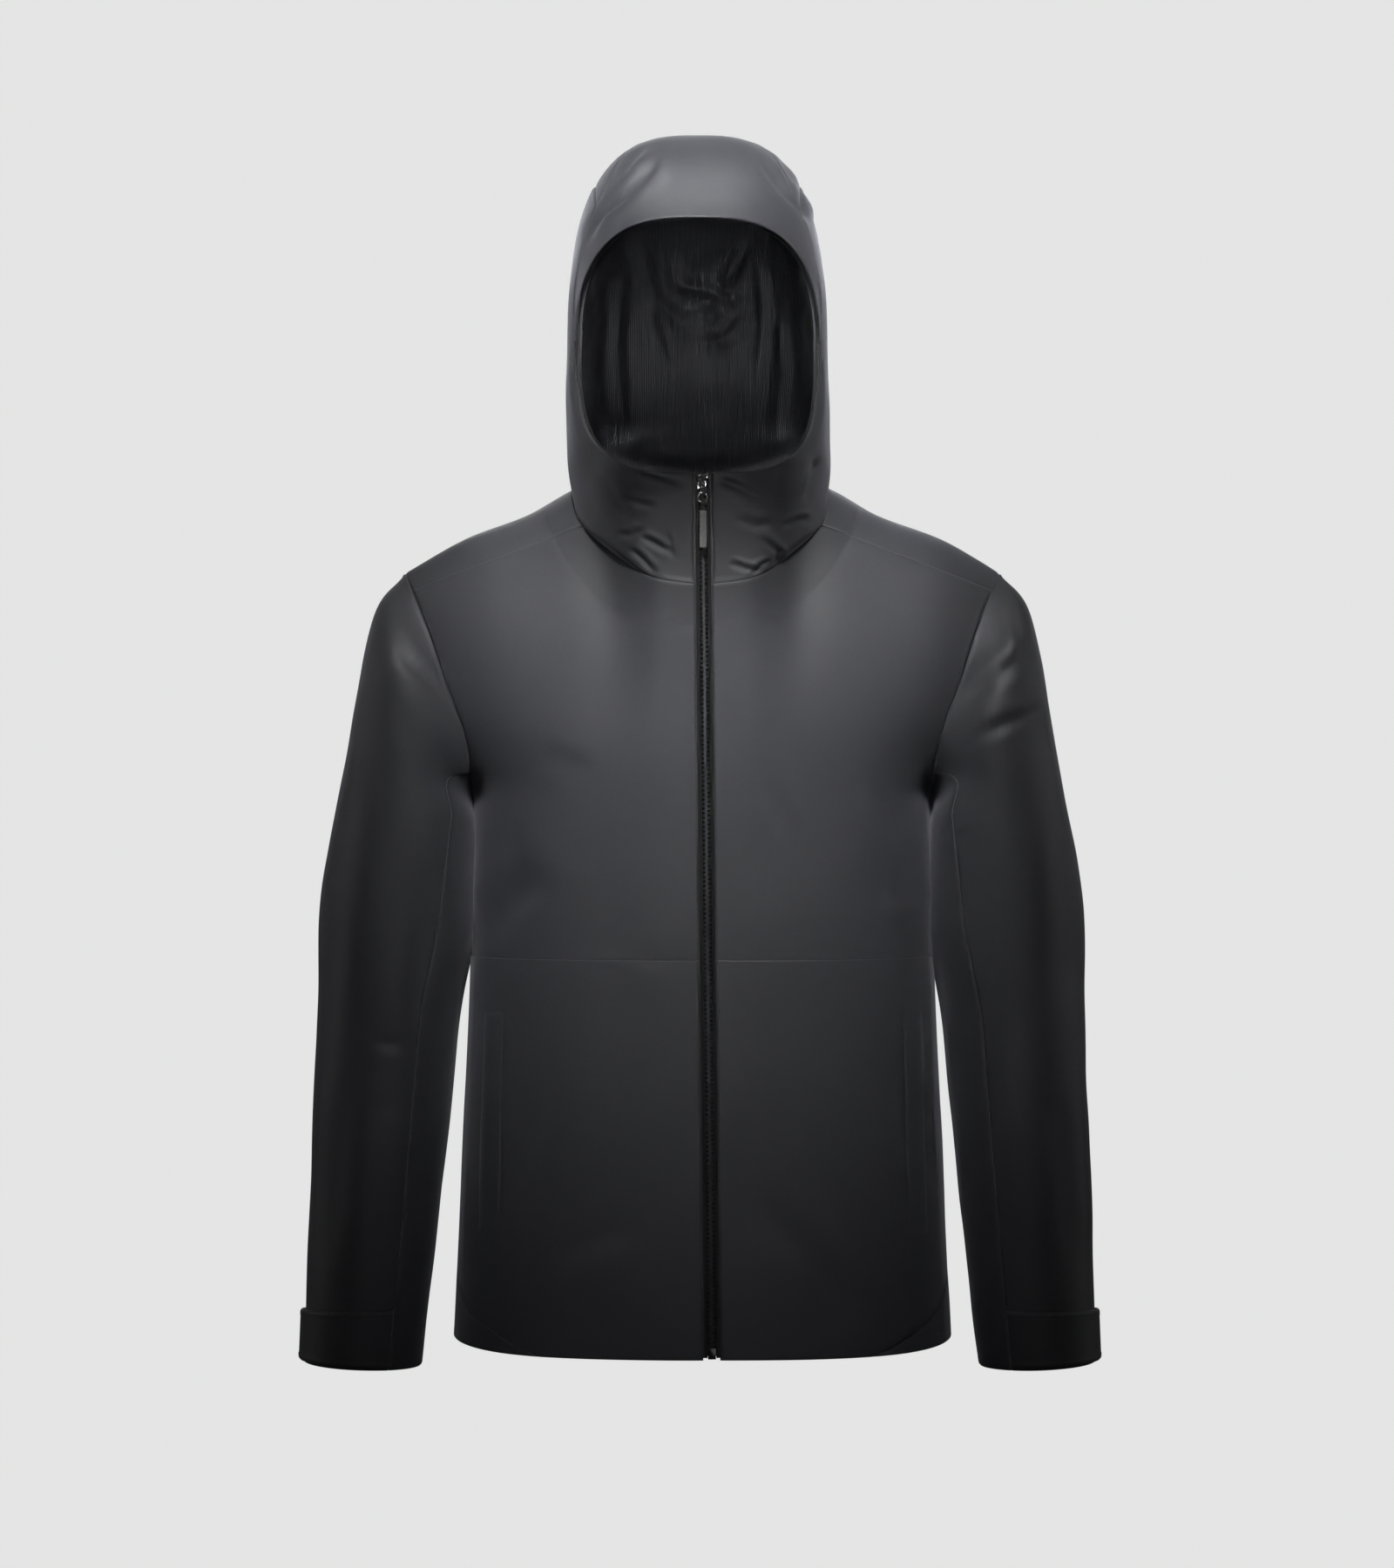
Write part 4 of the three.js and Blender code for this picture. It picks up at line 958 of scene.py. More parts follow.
# %% Torso panels
for word, side in SIDES:
    inner, outer = inner_and_outer(side)
    lower = lay_cloth(f"front_body_{word}", front_lower(side), (205, 345), lined_shell, free="b" + inner,
                      seams="t" + outer, dips={"t": 0.08}, bands=[(outer, 5.5, 0.3)], folds=torso_folds,
                      seed=side * 3)
    sew(lower, f"front_lower_{word}")
    chest = lay_cloth(f"chest_{word}", front_chest(side), (230, 330), lined_shell, free=inner,
                      seams="bt" + outer, dips={"b": 0.08, "t": 0.45},
                      bands=[("b", 5.0, 0.04), ("t", 5.0, 0.08), (outer, 5.0, 0.35)],
                      folds=torso_folds, seed=side * 4)
    sew(chest, f"front_chest_{word}")
    underarm = lay_cloth(f"underarm_panel_{word}", side_panel(side), (110, 480), lined_shell, free="b",
                         seams="lrt", folds=torso_folds + back_folds, seed=side * 5)
    sew(underarm, f"side_panel_{word}")
    yoke = lay_cloth(f"yoke_{word}", shoulder_yoke(side), (160, 110), lined_shell, step=4, wander=0.5,
                     seed=side * 6)
    sew(yoke, f"shoulder_yoke_{word}")
back = lay_cloth("back_body", back_panel(), (400, 700), lined_shell, free="b", seams="lrt", step=6,
                 bands=[("t", 5.0, 0.3)], folds=back_folds, seed=9)
sew(back, "back_panel")

# %% [markdown]
# ## The sleeves
# Each sleeve is a wide outer panel and a narrow inner one, set into the armhole by a seam that stands
# up like fine piping. The arm hangs slightly bent, so the cloth creases below the shoulder and above
# the cuff.

# %% Where the sleeves fold
right_sleeve_folds = [
    fold([(-261, -120), (-238, -138), (-212, -162)], 5, 2.7),
    fold([(-275, -124), (-250, -180), (-226, -241)], 15, 1.6, ends=0.5),
    fold([(-278, -453), (-262, -450), (-248, -454)], 5, 1.4),
    fold([(-278, -505), (-264, -501), (-254, -505)], 5, 1.4),
    fold([(-280, -567), (-266, -563), (-256, -567)], 6, 1.7),
    fold([(-274, -652), (-262, -648), (-252, -655)], 6, 1.5),
    fold([(-293, -680), (-276, -676), (-258, -684)], 5, 1.5),
    fold([(-305, -200), (-312, -330), (-318, -450)], 13, 2.1),
    fold([(-300, -470), (-308, -560), (-314, -650)], 12, 1.8),
    fold([(-226, -300), (-238, -380), (-246, -450)], 9, 2.4)]
left_sleeve_folds = [
    fold([(217, -164), (250, -140), (286, -112)], 6, 3.3),
    fold([(226, -191), (262, -178), (295, -168)], 5, 3.0),
    fold([(204, -271), (214, -275), (224, -276)], 4, 1.8),
    fold([(232, -487), (240, -484), (252, -487)], 5, 1.7),
    fold([(238, -566), (248, -578), (258, -588)], 6, 2.0),
    fold([(240, -678), (252, -674), (262, -680)], 5, 1.5),
    fold([(248, -78), (254, -110), (262, -140)], 5, 2.0),
    fold([(262, -80), (268, -104), (272, -128)], 4, 1.5),
    fold([(300, -230), (310, -340), (316, -450)], 13, 2.0),
    fold([(296, -480), (306, -560), (312, -650)], 11, 1.8)]
sleeve_back_lines = [
    ([(212, -330), (255, -352), (305, -345)], 9, 2.6), ([(220, -372), (262, -388), (310, -382)], 9, 2.2),
    ([(232, -160), (262, -190), (285, -240)], 11, 2.2), ([(240, -560), (272, -575), (312, -570)], 9, 1.8)]
sleeve_back_folds = [back_fold([(x * k, z) for x, z in line], width, depth)
                     for line, width, depth in sleeve_back_lines for k in (-1, 1)]

# %% Sleeve panels
SLEEVE_PUSH = 8.5


def against_body(side, surface):
    """Below the armpit the sleeve hangs against the body, so its inner side is pushed inwards there."""
    def pushed(s, t):
        place = surface(s, t)
        x, down = side * place[..., 0], -place[..., 2]
        high_enough, low_enough = 1 - ramp(down, 345, 450), ramp(down, 224, 262)
        push = SLEEVE_PUSH * low_enough * high_enough * (1 - ramp(x, 222, 290))
        return place - points(side * push, 0, 0)
    return pushed


for word, side in SIDES:
    arm_folds = (left_sleeve_folds if side > 0 else right_sleeve_folds) + sleeve_back_folds
    outer_half = lay_cloth(f"sleeve_top_{word}", against_body(side, sleeve_outer(side)), (270, 660),
                           lined_shell, free="b", seams="lrt", folds=arm_folds, wander=1.3,
                           bands=[("t", 3.0, 0.6), ("l", 3.5, 0.3), ("r", 3.5, 0.3)], seed=side * 11)
    sew(outer_half, f"sleeve_outer_{word}")
    inner_half = lay_cloth(f"sleeve_inside_{word}", against_body(side, sleeve_under(side)), (90, 480),
                           lined_shell, free="b", seams="lrt", folds=arm_folds, wander=1.3,
                           seed=side * 12)
    sew(inner_half, f"sleeve_under_{word}")

# %% [markdown]
# ## The hood
# Three panels shape the hood, and a stiff peak frames the face. The peak is smooth because a stiffener
# fills it. The cloth behind it is gathered a little, and the collar below creases round the neck.

# %% Where the hood folds
hood_folds = [
    fold([(-36, 300), (-44, 284), (-62, 264), (-84, 249), (-102, 222)], 5, 4.6, one_sided=0.9, ends=0.25),
    fold([(48, 306), (56, 286), (70, 268), (88, 254), (95, 248)], 5, 3.2, one_sided=0.9, ends=0.25),
    fold([(-46, 312), (-60, 296), (-68, 282)], 4, 2.2), fold([(62, 306), (72, 290), (78, 274)], 4, 2.0),
    fold([(-56, 27), (-38, 22), (-16, 13)], 3.2, 2.2), fold([(-68, 10), (-54, 3), (-36, -1)], 3, 2.0),
    fold([(-62, -33), (-50, -44), (-38, -58)], 2.6, 2.6),
    fold([(-52, -24), (-40, -31), (-24, -40)], 2.6, 2.2),
    fold([(-32, -20), (-27, -32), (-24, -46)], 2.4, 1.6),
    fold([(-72, -22), (-60, -24), (-48, -18)], 3, 1.8), fold([(-88, 34), (-74, 6), (-58, -14)], 6, 2.0),
    fold([(10, 24), (30, 16), (52, 6)], 3.4, 2.4), fold([(46, -24), (64, -38), (60, -56)], 2.6, 2.6),
    fold([(66, -18), (80, -10), (94, -8)], 2.8, 2.2), fold([(22, -46), (36, -52), (52, -55)], 2.4, 1.8),
    fold([(84, 2), (92, 24), (99, 46)], 5, 2.2), fold([(28, -8), (44, -16), (62, -14)], 4, 1.6),
    fold([(40, -62), (48, -50), (58, -44)], 2.2, 1.8), fold([(-90, 60), (-98, 20), (-92, -20)], 9, 1.6),
    fold([(92, 60), (98, 20), (90, -20)], 9, 1.6), fold([(-100, 200), (-106, 140), (-104, 80)], 9, 1.2),
    fold([(100, 200), (106, 140), (104, 80)], 9, 1.2), back_fold([(-80, 40), (0, 20), (80, 40)], 12, 2.4),
    back_fold([(-70, 90), (0, 74), (70, 92)], 12, 1.8),
    back_fold([(-60, 190), (0, 176), (60, 192)], 15, 1.4)]

peak_folds = hood_folds[:4] + [
    fold([(-80, 300), (-84, 280), (-86, 262)], 2.2, 0.9, ends=0.2),
    fold([(77, 290), (80, 270), (82, 252)], 2.2, 0.9, ends=0.2),
    fold([(-30, 312), (-34, 296), (-40, 284)], 3, 0.7), fold([(-72, 258), (-86, 250), (-98, 240)], 3, 1.0)]

# %% Hood panels
for word, side in SIDES:
    inner, outer = inner_and_outer(side)
    hood_half = lay_cloth(f"hood_side_panel_{word}", hood_side(side), (290, 270), lined_shell, step=3.5,
                          free="t" + inner, seams="b" + outer, dips={"b": 0.45}, quiet=3.5,
                          bands=[(outer, 5, 0.3)], folds=hood_folds, wander=1.5, seed=side * 14)
    sew(hood_half, f"hood_side_{word}")
crown = lay_cloth("hood_middle_panel", hood_crown, (180, 430), lined_shell, step=4, seams="lrbt",
                  folds=hood_folds, wander=0.9, seed=15)
sew(crown, "hood_crown")
peak = lay_cloth("hood_peak", hood_brim, (390, 70), lined_shell, step=4, free="t", seams="lrb",
                 bands=[("b", 5, 0.35)], folds=peak_folds, wander=0.35, seed=16)
sew(peak, "hood_brim")

# %% [markdown]
# ## Inside the hood
# The hood is lined, and the lining is a little too big for it, so it hangs in soft loops from the crown.
# Two strips of waterproof tape run over the panel seams. The lining is one sheet from the zip on one
# side round to the other, and only its back wall is seen through the opening.

# %% Hood lining
lining_folds = [
    back_fold([(-58, 246), (-40, 196), (-12, 172), (14, 190), (34, 244)], 6, 6.0, 0.9, 0.15),
    back_fold([(-38, 250), (-22, 214), (0, 202), (24, 222), (46, 250)], 5, 5.0, 0.9, 0.15),
    back_fold([(-6, 236), (8, 206), (26, 196), (40, 208)], 4, 4.0, 0.9, 0.2),
    back_fold([(-30, 176), (-4, 158), (22, 162), (48, 188)], 6, 4.0, 0.8, 0.25),
    back_fold([(-50, 210), (-44, 170), (-30, 132)], 6, 3.6, 0.8, 0.25),
    back_fold([(18, 176), (6, 140), (-8, 112)], 6, 3.2, 0.8, 0.3),
    back_fold([(52, 232), (58, 180), (50, 130)], 5, 3.4, 0.8, 0.25),
    back_fold([(-72, 220), (-78, 150), (-70, 80)], 6, 3.0, 0.7, 0.25),
    back_fold([(30, 150), (14, 118), (20, 84)], 6, 2.4, 0.7, 0.3),
    back_fold([(66, 200), (74, 130), (66, 70)], 6, 2.6, 0.7, 0.3)]


LINING_START, LINING_LOW, LINING_HIGH = 0.045, 0.025, 0.935
TAPE_HALF, TAPE_SINK, SAG = 0.034, 0.5, 3.4


def hood_lining_surface(s, t):
    side, round_ = over_top(LINING_START, 1 - s)
    return hood(side, round_, lerp(LINING_LOW, LINING_HIGH, t))


def lining_relief(places, outward, s, t):
    round_, up = over_top(LINING_START, 1 - s)[1], lerp(LINING_LOW, LINING_HIGH, t)
    from_seam = np.abs(round_ - crown_seam(up))
    tape = -TAPE_SINK * ramp(TAPE_HALF - from_seam, 0, 0.004)
    sag = -SAG * ramp(up, 0.3, 0.5)
    loose = ramp(up, 0.35, 0.5) * ramp(0.95 - up, 0, 0.1) * ramp(round_, 0.55, 0.75)
    return tape + sag + loose * (unevenness(places, 21, 2.2, 31) + unevenness(places, 11, 0.8, 37))


hood_inside = lay_cloth("hood_lining", hood_lining_surface, (560, 430), [lining], step=3.4, seams="",
                        lift=-3.6, thickness=0.4, folds=lining_folds, relief=lining_relief, wander=0.6,
                        seed=21, ceiling=-1.9)
sew(hood_inside, None)

# %% [markdown]
# ## Facings
# The face edge, the hem and the cuffs are each finished with a narrow strip inside. With the outer cloth
# it makes a channel, and the drawcord runs in it.

# %% Face, hem and cuff facings
CHANNEL_DEPTH, FACING = 4.4, 0.8
FACING_LIFT = -0.6 - CHANNEL_DEPTH - PROUD
edging = lay_cloth("face_facing", face_edge(0.945, 0.995), (700, 14), [trim_cloth], step=4, seams="",
                   lift=FACING_LIFT, thickness=FACING, wander=0.2, seed=22)
sew(edging, "hood_edge_facing")


def round_hem(share, above):
    quarter = 4 * share
    back = (quarter > 1) & (quarter < 3)
    q = math.pi / 2 * np.where(back, np.abs(quarter - 2), 2 - np.abs(quarter - 2))
    return body(np.where(quarter < 2, 1, -1), back, q, hem_z(back, q) + above)


def hem_band(s, t):
    return round_hem(lerp(0.05, 0.95, s), lerp(1, 24, t))


hem_strip = lay_cloth("hem_facing_strip", hem_band, (1080, 23), [trim_cloth], step=6, seams="",
                      lift=FACING_LIFT, thickness=FACING, wander=0.2, seed=23)
sew(hem_strip, "hem_facing")
for word, side in SIDES:
    turnup = lay_cloth(f"cuff_turnup_{word}", cuff_band(side, 0.01, 0.99, 0, lambda s: TURNUP_HEIGHT),
                       (300, 34), [trim_cloth], seams="", lift=-2.6 - PROUD + FACING / 2,
                       thickness=FACING, wander=0.2, seed=side * 24)
    sew(turnup, f"cuff_facing_{word}")

# %% [markdown]
# ## Cuff tabs
# Each cuff closes with a tab of double cloth, sewn into the front sleeve seam and pressed on to a patch
# of loops. Three rows of stitches, along its two long edges and across its end, hold the layers together.
# A stitch is a short bar of thread, so a row is one small box repeated along the tab.

# %% Stitches
thread_finish = Finish("sewing_thread", Roughness=0.6, Sheen_Weight=0.3)
thread_twist = thread_finish.noise(thread_finish.node("TexCoord", output=3), 2600, 2)
thread_finish.set("Base Color", thread_finish.mix(thread_twist, grey(0.02), grey(0.055)))
thread = thread_finish.material


def stitches(name, surface, lines, height, pitch=3.1, length=2.1, gauge=0.34):
    """Rows of stitches. Each line is a start and an end, in shares of the surface."""
    mesh = bmesh.new()
    for (s0, t0), (s1, t1) in lines:
        fine = np.linspace(0, 1, 200)
        run = surface(lerp(s0, s1, fine), lerp(t0, t1, fine))
        along = np.insert(np.cumsum(np.linalg.norm(np.diff(run, axis=0), axis=1)), 0, 0)
        count = max(int(along[-1] / pitch), 1)
        for middle in (np.arange(count) + 0.5) / count * along[-1]:
            share = np.interp(middle + np.array([-0.5, 0, 0.5]), along, fine)
            s, t = lerp(s0, s1, share), lerp(t0, t1, share)
            place, outward = surface(s, t), outward_of(surface, s, t)
            run_x = Vector(place[2] - place[0]).normalized()
            up = Vector(outward[1]).normalized()
            turn = Matrix((run_x, up.cross(run_x), up)).transposed().to_4x4()
            turn.translation = (Vector(place[1]) + up * height) * MM
            size = Matrix.Diagonal((length * MM, gauge * MM, gauge * MM * 0.8, 1))
            bmesh.ops.create_cube(mesh, size=1, matrix=turn @ size)
    return as_object(name, mesh, [thread], smooth=False)


# %% Tabs and loop patches
hooked = woven("hook_and_loop", grey(0.010), 0.95, thread=0.0014, strength=0.9)
ROW_LOW, ROW_HIGH, ROW_START, ROW_END = 0.1, 0.88, 0.03, 0.97
for word, side in SIDES:
    tab_surface = cuff_band(side, FRONT_SLEEVE_SEAM[1] + 0.006, TAB_REACH, 2,
                            lambda s: lerp(TAB_HEIGHT + 5, TAB_HEIGHT - 6, s))
    tab = lay_cloth(f"cuff_closing_tab_{word}", tab_surface, (150, 44), [shell, hooked], step=3.5,
                    seams="", free="lrbt", lift=4.5 - PROUD, thickness=1.3, wander=0.35,
                    bands=[("t", 4.5, 0.3), ("b", 4.5, 0.3)], seed=side * 25)
    sew(tab, f"cuff_tab_{word}", body_name=f"cuff_strap_{word}")
    tab_end = ROW_END if side > 0 else ROW_START
    rows = stitches(f"cuff_tab_stitches_{word}", tab_surface,
                    [((ROW_START, ROW_LOW), (ROW_END, ROW_LOW)), ((ROW_START, ROW_HIGH), (ROW_END, ROW_HIGH)),
                     ((tab_end, ROW_LOW), (tab_end, ROW_HIGH))], 4.7)
    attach(rows, f"cuff_strap_{word}")
    loops = lay_cloth(f"cuff_patch_{word}", cuff_band(side, 0.36, 0.74, 8, lambda s: TAB_HEIGHT - 10),
                      (120, 26), [hooked], step=5, seams="", lift=2.15 - PROUD, thickness=0.7, wander=0,
                      seed=1)
    sew(loops, f"cuff_loop_patch_{word}")

# %% [markdown]
# ## The zip
# The zip has its own frame: X across, Y into the jacket, Z up. Its moulded teeth are wedges that point at
# each other, one half pitch apart, in two rows on ribbed tapes. The tooth is made once from a cube with
# a narrowed inner face and bevelled edges, and is then repeated, so it may only have a few dozen faces.

# %% Hard finishes
def moulded(name, colour, roughness, coat=0.0, grain=260):
    finish = Finish(name, Specular_IOR_Level=0.6, Coat_Weight=coat)
    place = finish.node("TexCoord", output=3)
    slow = finish.noise(place, grain)
    fine = finish.noise(place, 3200, 2)
    finish.set("Base Color", finish.mix(slow, grey(colour * 0.7), grey(colour * 1.3)))
    finish.set("Roughness", slow * 0.14 + fine * 0.08 + (roughness - 0.1))
    finish.bump(fine * 0.4 + slow, 0.15, 0.0002)
    return finish.material


teeth_plastic = moulded("moulded_teeth", 0.006, 0.2, 0.6)
painted = moulded("painted_slider", 0.014, 0.26, 0.5)
soft_plastic = moulded("rubbery_tab", 0.09, 0.5)
tape_cloth = moulded("zip_tape", 0.004, 0.36)
cord_cloth = woven("drawcord_sheath", grey(0.03), 0.7, thread=0.0008, strength=0.6)

# %% The zip's own frame
ZIP_FOOT = body(1, False, 0.0, float(HEM_Z))
ZIP_HEAD = body(1, False, 0.0, float(CHIN_Z))
ZIP_LENGTH = float(np.linalg.norm(ZIP_HEAD - ZIP_FOOT))


def line_frame(foot, head, outward):
    up = Vector(head - foot).normalized()
    across = up.cross(Vector(outward)).normalized()
    turn = Matrix((across, up.cross(across), up)).transposed().to_4x4()
    turn.translation = Vector(foot)
    return turn


zip_frame = line_frame(ZIP_FOOT, ZIP_HEAD, (0, -1, 0))


def in_frame(turn, local):
    """Points of a local frame as points of the jacket, all in millimetres."""
    return local @ np.array(turn.to_3x3()).T + np.array(turn.translation)


CHAIN_INNER, CHAIN_OUTER, CHAIN_FRONT, CHAIN_BACK = 0.8, 3.3, 0.2, 3.8
TAPE_START, TAPE_END, TAPE_FRONT = 3.6, 14.6, 1.7
TOOTH_PITCH, CHAIN_FOOT, CHAIN_HEAD = 3.8, 11, ZIP_LENGTH - 4
TOOTH_SHARE, TOOTH_TIP, TOOTH_EDGE = 0.64, (1, 0.8, 0.3), 0.42
FIRST_TOOTH = {1: 0.32, -1: 0.82}


def teeth_row(name, turn, side, first, last, pitch, scale=1.0, front=CHAIN_FRONT, back=CHAIN_BACK):
    mesh = bmesh.new()
    wide = (CHAIN_OUTER - CHAIN_INNER) * scale
    made = bmesh.ops.create_cube(mesh, size=1)
    bmesh.ops.scale(mesh, vec=(wide, back - front, pitch * TOOTH_SHARE), verts=made["verts"])
    inner_end = [v for v in made["verts"] if v.co.x * side < 0]
    bmesh.ops.scale(mesh, vec=TOOTH_TIP, verts=inner_end)
    bmesh.ops.bevel(mesh, geom=mesh.edges[:], offset=TOOTH_EDGE * scale, offset_type="OFFSET",
                    segments=1, profile=0.5, affect="EDGES", material=-1)
    middle = side * (CHAIN_INNER + (CHAIN_OUTER - CHAIN_INNER) / 2) * scale
    first_place = (middle, (front + back) / 2, first + pitch * FIRST_TOOTH[side])
    bmesh.ops.translate(mesh, verts=mesh.verts, vec=first_place)
    tooth = mesh.verts[:] + mesh.edges[:] + mesh.faces[:]
    for i in range(1, int((last - first) / pitch - 0.5)):
        copy = bmesh.ops.duplicate(mesh, geom=tooth)["geom"]
        bmesh.ops.translate(mesh, verts=of_kind(bmesh.types.BMVert, copy), vec=(0, 0, i * pitch))
    mesh.transform(Matrix.Scale(MM, 4) @ turn)
    return as_object(name, mesh, [teeth_plastic], smooth=False)


def strip(turn, corners, low, high):
    """A surface that follows a cross-section, given as (x, y) corners, from low to high up the zip."""
    corners = np.array(corners, float)
    steps = np.insert(np.cumsum(np.linalg.norm(np.diff(corners, axis=0), axis=1)), 0, 0)

    def surface(s, t):
        s, t = np.broadcast_arrays(np.asarray(s, float), np.asarray(t, float))
        at = s * steps[-1]
        x, y = (np.interp(at, steps, corners[:, i]) for i in (0, 1))
        local = points(x, y, lerp(low, high, t))
        return in_frame(turn, local)
    return surface


# %% Teeth, tapes and storm flap
BEAD_PLACE, RIB_PITCH = 0.9, 1.6


def tape_relief(side, wide):
    def relief(places, outward, s, t):
        from_bead = (s if side > 0 else 1 - s) * wide - BEAD_PLACE
        bead = 0.75 * np.exp(-((from_bead / 0.75) ** 2))
        ribs = np.sin(t * ZIP_LENGTH * 2 * math.pi / RIB_PITCH)
        return bead + 0.12 * ribs * np.exp(-((from_bead / 0.9) ** 2))
    return relief


for word, side in SIDES:
    row = teeth_row(f"zip_teeth_{word}", zip_frame, side, CHAIN_FOOT, CHAIN_HEAD, TOOTH_PITCH)
    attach(row, "garment")
    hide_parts(f"zipper_teeth_{word}")
    ends = (TAPE_START, TAPE_END) if side > 0 else (-TAPE_END, -TAPE_START)
    tape_surface = strip(zip_frame, [(ends[0], TAPE_FRONT), (ends[1], TAPE_FRONT)], 2, ZIP_LENGTH - 2)
    tape = lay_cloth(f"zip_tape_{word}", tape_surface, (11, 740), [tape_cloth], step=2.2, seams="",
                     lift=-PROUD, thickness=0.6, wander=0, relief=tape_relief(side, TAPE_END - TAPE_START))
    sew(tape, f"zipper_tape_{word}")
FLAP_Y = CHAIN_BACK + 2.65
flap_corners = [(-TAPE_END, FLAP_Y), (TAPE_END + 0.4, FLAP_Y), (TAPE_END + 1.2, FLAP_Y - 1),
                (TAPE_END + 1.4, 2.3)]
guard = lay_cloth("storm_guard", strip(zip_frame, flap_corners, 3, ZIP_LENGTH - 9), (34, 728), [shell],
                  seams="", lift=-PROUD, thickness=0.8, wander=0.25, seed=27)
sew(guard, "storm_flap")

# %% [markdown]
# ## Slider and pull
# The slider, its ring pull, the stops and the box are moulded or cast, and the planned solids already
# have their true shape. A bevel gives each one the small round edge that catches the light, without which
# a casting looks cut from paper. The solids are loose triangles, so each copy is merged first.

# %% Solids with round edges
SAME_PLACE = 0.000002


def softened(node, name, material, width, segments=2):
    mesh = bmesh.new()
    mesh.from_mesh(frame["nodes"][node].data)
    bmesh.ops.remove_doubles(mesh, verts=mesh.verts, dist=SAME_PLACE)
    bmesh.ops.dissolve_limit(mesh, angle_limit=math.radians(3), verts=mesh.verts, edges=mesh.edges)
    piece = as_object(name, mesh, [material])
    edges = piece.modifiers.new("round_edges", "BEVEL")
    edges.width, edges.segments, edges.limit_method = width * MM, segments, "ANGLE"
    edges.angle_limit = math.radians(32)
    edges.use_clamp_overlap = True
    edges.harden_normals = True
    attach(piece, body_of(frame["nodes"][node])[0])
    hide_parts(node)
    return piece


softened("slider_body", "zip_slider", painted, 0.28)
softened("slider_pull", "ring_pull", painted, 0.32)
softened("pull_cord", "pull_cord_loop", cord_cloth, 0.25)
softened("retaining_box", "zip_box", teeth_plastic, 0.5)
softened("insertion_pin", "zip_pin", teeth_plastic, 0.25)
for word, side in SIDES:
    softened(f"top_stop_{word}", f"zip_stop_{word}", teeth_plastic, 0.3)
    softened(f"pocket_slider_{word}", f"pocket_zip_slider_{word}", painted, 0.2)
    softened(f"hood_cord_lock_{word}", f"hood_lock_cup_{word}", teeth_plastic, 0.25)
    softened(f"hem_cord_lock_{word}", f"hem_lock_cup_{word}", teeth_plastic, 0.25)
    softened(f"hood_lock_button_{word}", f"hood_lock_plunger_{word}", soft_plastic, 0.3)
    softened(f"hem_lock_button_{word}", f"hem_lock_plunger_{word}", soft_plastic, 0.3)
softened("hanger_loop", "hanging_loop", cord_cloth, 0.3)
for node in ("hem_drawcord", "hood_drawcord"):
    frame["nodes"][node].data.materials.clear()
    frame["nodes"][node].data.materials.append(cord_cloth)

# %% The knurled tab
tab_low, tab_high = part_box("pull_tab")
tab_low, tab_high = np.array(tab_low) / MM, np.array(tab_high) / MM


TAB_TAPER, KNURL_WIDE, KNURL_HIGH, KNURL_COUNT = 0.06, 6.4, 31, 2.0


def pull_tab_surface(s, t):
    s, t = np.broadcast_arrays(np.asarray(s, float), np.asarray(t, float))
    x = lerp(tab_low[0] + 0.3, tab_high[0] - 0.3, s)
    narrow = 1 - TAB_TAPER * t
    middle = (tab_low[0] + tab_high[0]) / 2
    z = lerp(tab_low[2], tab_high[2], t)
    lean = float(zip_frame[1][2])
    return points(middle + (x - middle) * narrow, tab_low[1] + 0.1 + (z - tab_low[2]) * lean, z)


def knurl(places, outward, s, t):
    across, up = s * KNURL_WIDE, t * KNURL_HIGH
    edge = ramp(s, 0.03, 0.12) * ramp(1 - s, 0.03, 0.12) * ramp(t, 0.01, 0.03) * ramp(1 - t, 0.01, 0.03)
    one_way = np.abs(np.sin((across + up) * KNURL_COUNT))
    other_way = np.abs(np.sin((across - up) * KNURL_COUNT))
    return 0.34 * edge * one_way * other_way - 0.1


tab = lay_cloth("knurled_tab", pull_tab_surface, (13, 31), [soft_plastic], step=0.42, seams="",
                lift=-PROUD, thickness=1.7, wander=0, relief=knurl)
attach(tab, "tab")
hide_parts("pull_tab")

# %% [markdown]
# ## Pockets
# A hand pocket is a slot in the front, closed by a small zip. A narrow flap of the same cloth covers it,
# so from the front only its edge shows. The pouch hangs behind.

# %% Pocket pieces
POCKET_X, POCKET_Z, POCKET_SCALE, POCKET_INSET = (176, 181), (-423, -615), 0.65, 2.2
WELT, WELT_LENGTH, WELD, END_WELD, WELD_DROP = 26, 200, 9, 14, 1.85
TEETH_FRONT, TEETH_BACK, POCKET_PITCH = 1.05, 2.1, 2.4


def pocket_frame(side):
    head, foot = (body_at(side, False, float(POCKET_X[i]), float(POCKET_Z[i])) for i in (0, 1))
    middle = sum(POCKET_Z) / 2
    q = float(angle_at(sum(POCKET_X) / 2, middle))
    across = body(side, False, q + 0.02, middle) - body(side, False, q - 0.02, middle)
    outward = Vector(np.cross(across, head - foot) * side).normalized()
    turn = line_frame(foot, head, outward)
    turn.translation = turn.translation + turn.to_3x3() @ Vector((0, POCKET_INSET, 0))
    return turn, float(np.linalg.norm(head - foot))


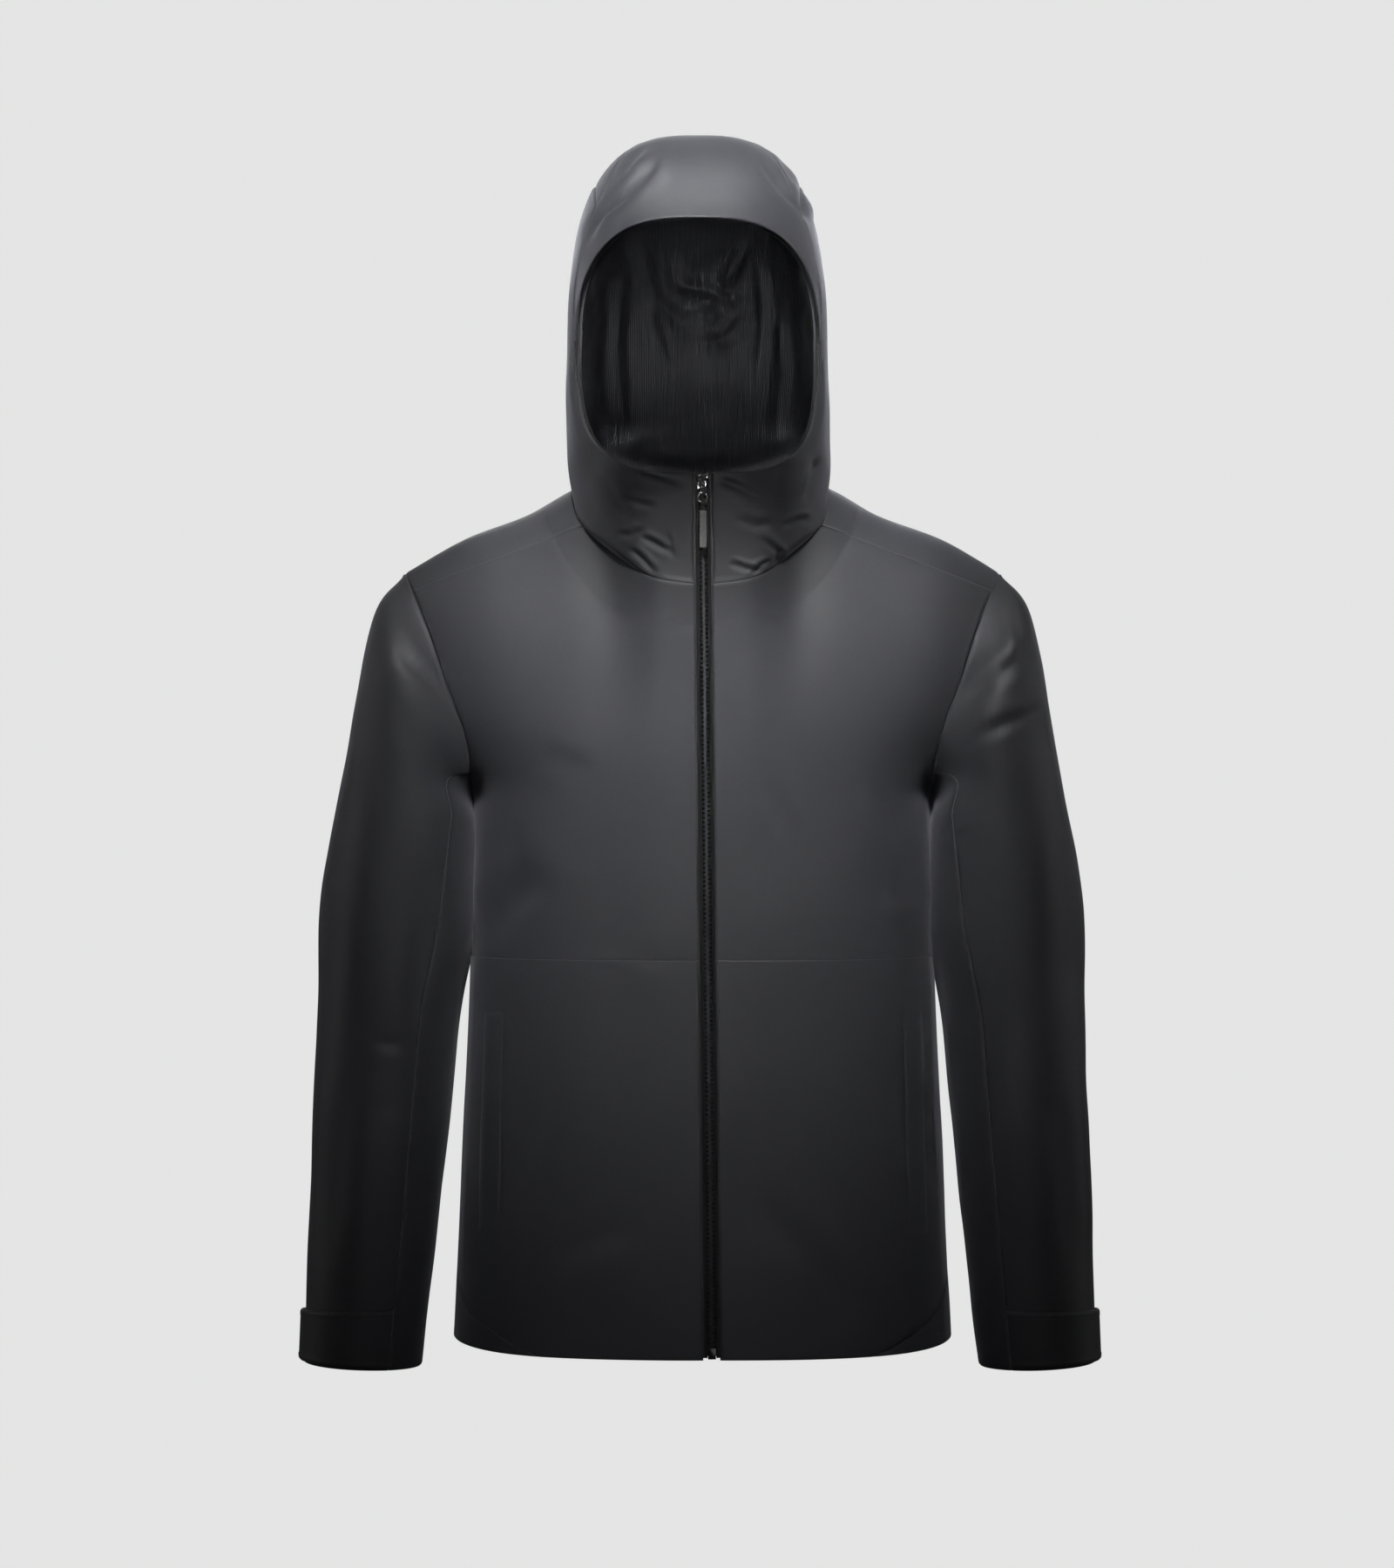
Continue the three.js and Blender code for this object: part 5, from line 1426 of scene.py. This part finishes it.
def welt_surface(side):
    def surface(s, t):
        x, z = lerp(POCKET_X[1], POCKET_X[0], t), lerp(POCKET_Z[1] - 5, POCKET_Z[0] + 5, t)
        q = angle_at(x, z)
        return body(side, False, q + lerp(-0.4 * WELT / 120, 0.6 * WELT / 120, s), z)
    return mirrored(side, surface)


def sewn_down(side):
    """The flap is welded along its outer edge and both ends, and only its inner edge stands free."""
    def relief(places, outward, s, t):
        outer = (1 - s if side > 0 else s) * WELT
        ends = np.minimum(t, 1 - t) * WELT_LENGTH
        weld = np.minimum(outer / WELD, ends / END_WELD)
        return -WELD_DROP * (1 - ramp(weld, 0, 1))
    return relief


def pouch_surface(side):
    def surface(s, t):
        return body(side, False, lerp(0.28, 1.02, s), lerp(HEM_Z + 62, WAIST_SEAM_Z - 30, t))
    return mirrored(side, surface)


def pocket_zip_half(word, side, way, turn, long):
    """One tape and one row of teeth. The CAD has one node for both, and the first half stands for it."""
    k = POCKET_SCALE
    end = "front" if way * side < 0 else "rear"
    edges = sorted((way * (CHAIN_OUTER * k + 0.3), way * TAPE_END * k * 0.98))
    tape_surface = strip(turn, [(x, TAPE_FRONT * k) for x in edges], -6, long + 6)
    tape = lay_cloth(f"pocket_zip_tape_{word}_{end}", tape_surface, (7, 200), [tape_cloth], step=3,
                     seams="", lift=-PROUD, thickness=0.4, wander=0)
    sew(tape, f"pocket_tape_{word}" if way > 0 else None)
    row = teeth_row(f"pocket_zip_teeth_{word}_{end}", turn, way, 2, long - 2, POCKET_PITCH, k,
                    TEETH_FRONT, TEETH_BACK)
    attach(row, "garment")
    if way > 0:
        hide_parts(f"pocket_teeth_{word}")


for word, side in SIDES:
    turn, long = pocket_frame(side)
    inner = inner_and_outer(side)[0]
    flap = lay_cloth(f"pocket_flap_{word}", welt_surface(side), (26, 200), [shell], step=3, seams="",
                     free=inner, lift=2.35 - PROUD, thickness=0.7, relief=sewn_down(side), wander=0.15,
                     seed=side * 28)
    sew(flap, f"pocket_welt_{word}")
    pouch = lay_cloth(f"pocket_pouch_{word}", pouch_surface(side), (150, 245), [trim_cloth], step=7,
                      seams="", lift=-9 - PROUD, thickness=1.0, wander=0.8, seed=side * 29)
    sew(pouch, f"pocket_bag_{word}")
    for way in (1, -1):
        pocket_zip_half(word, side, way, turn, long)
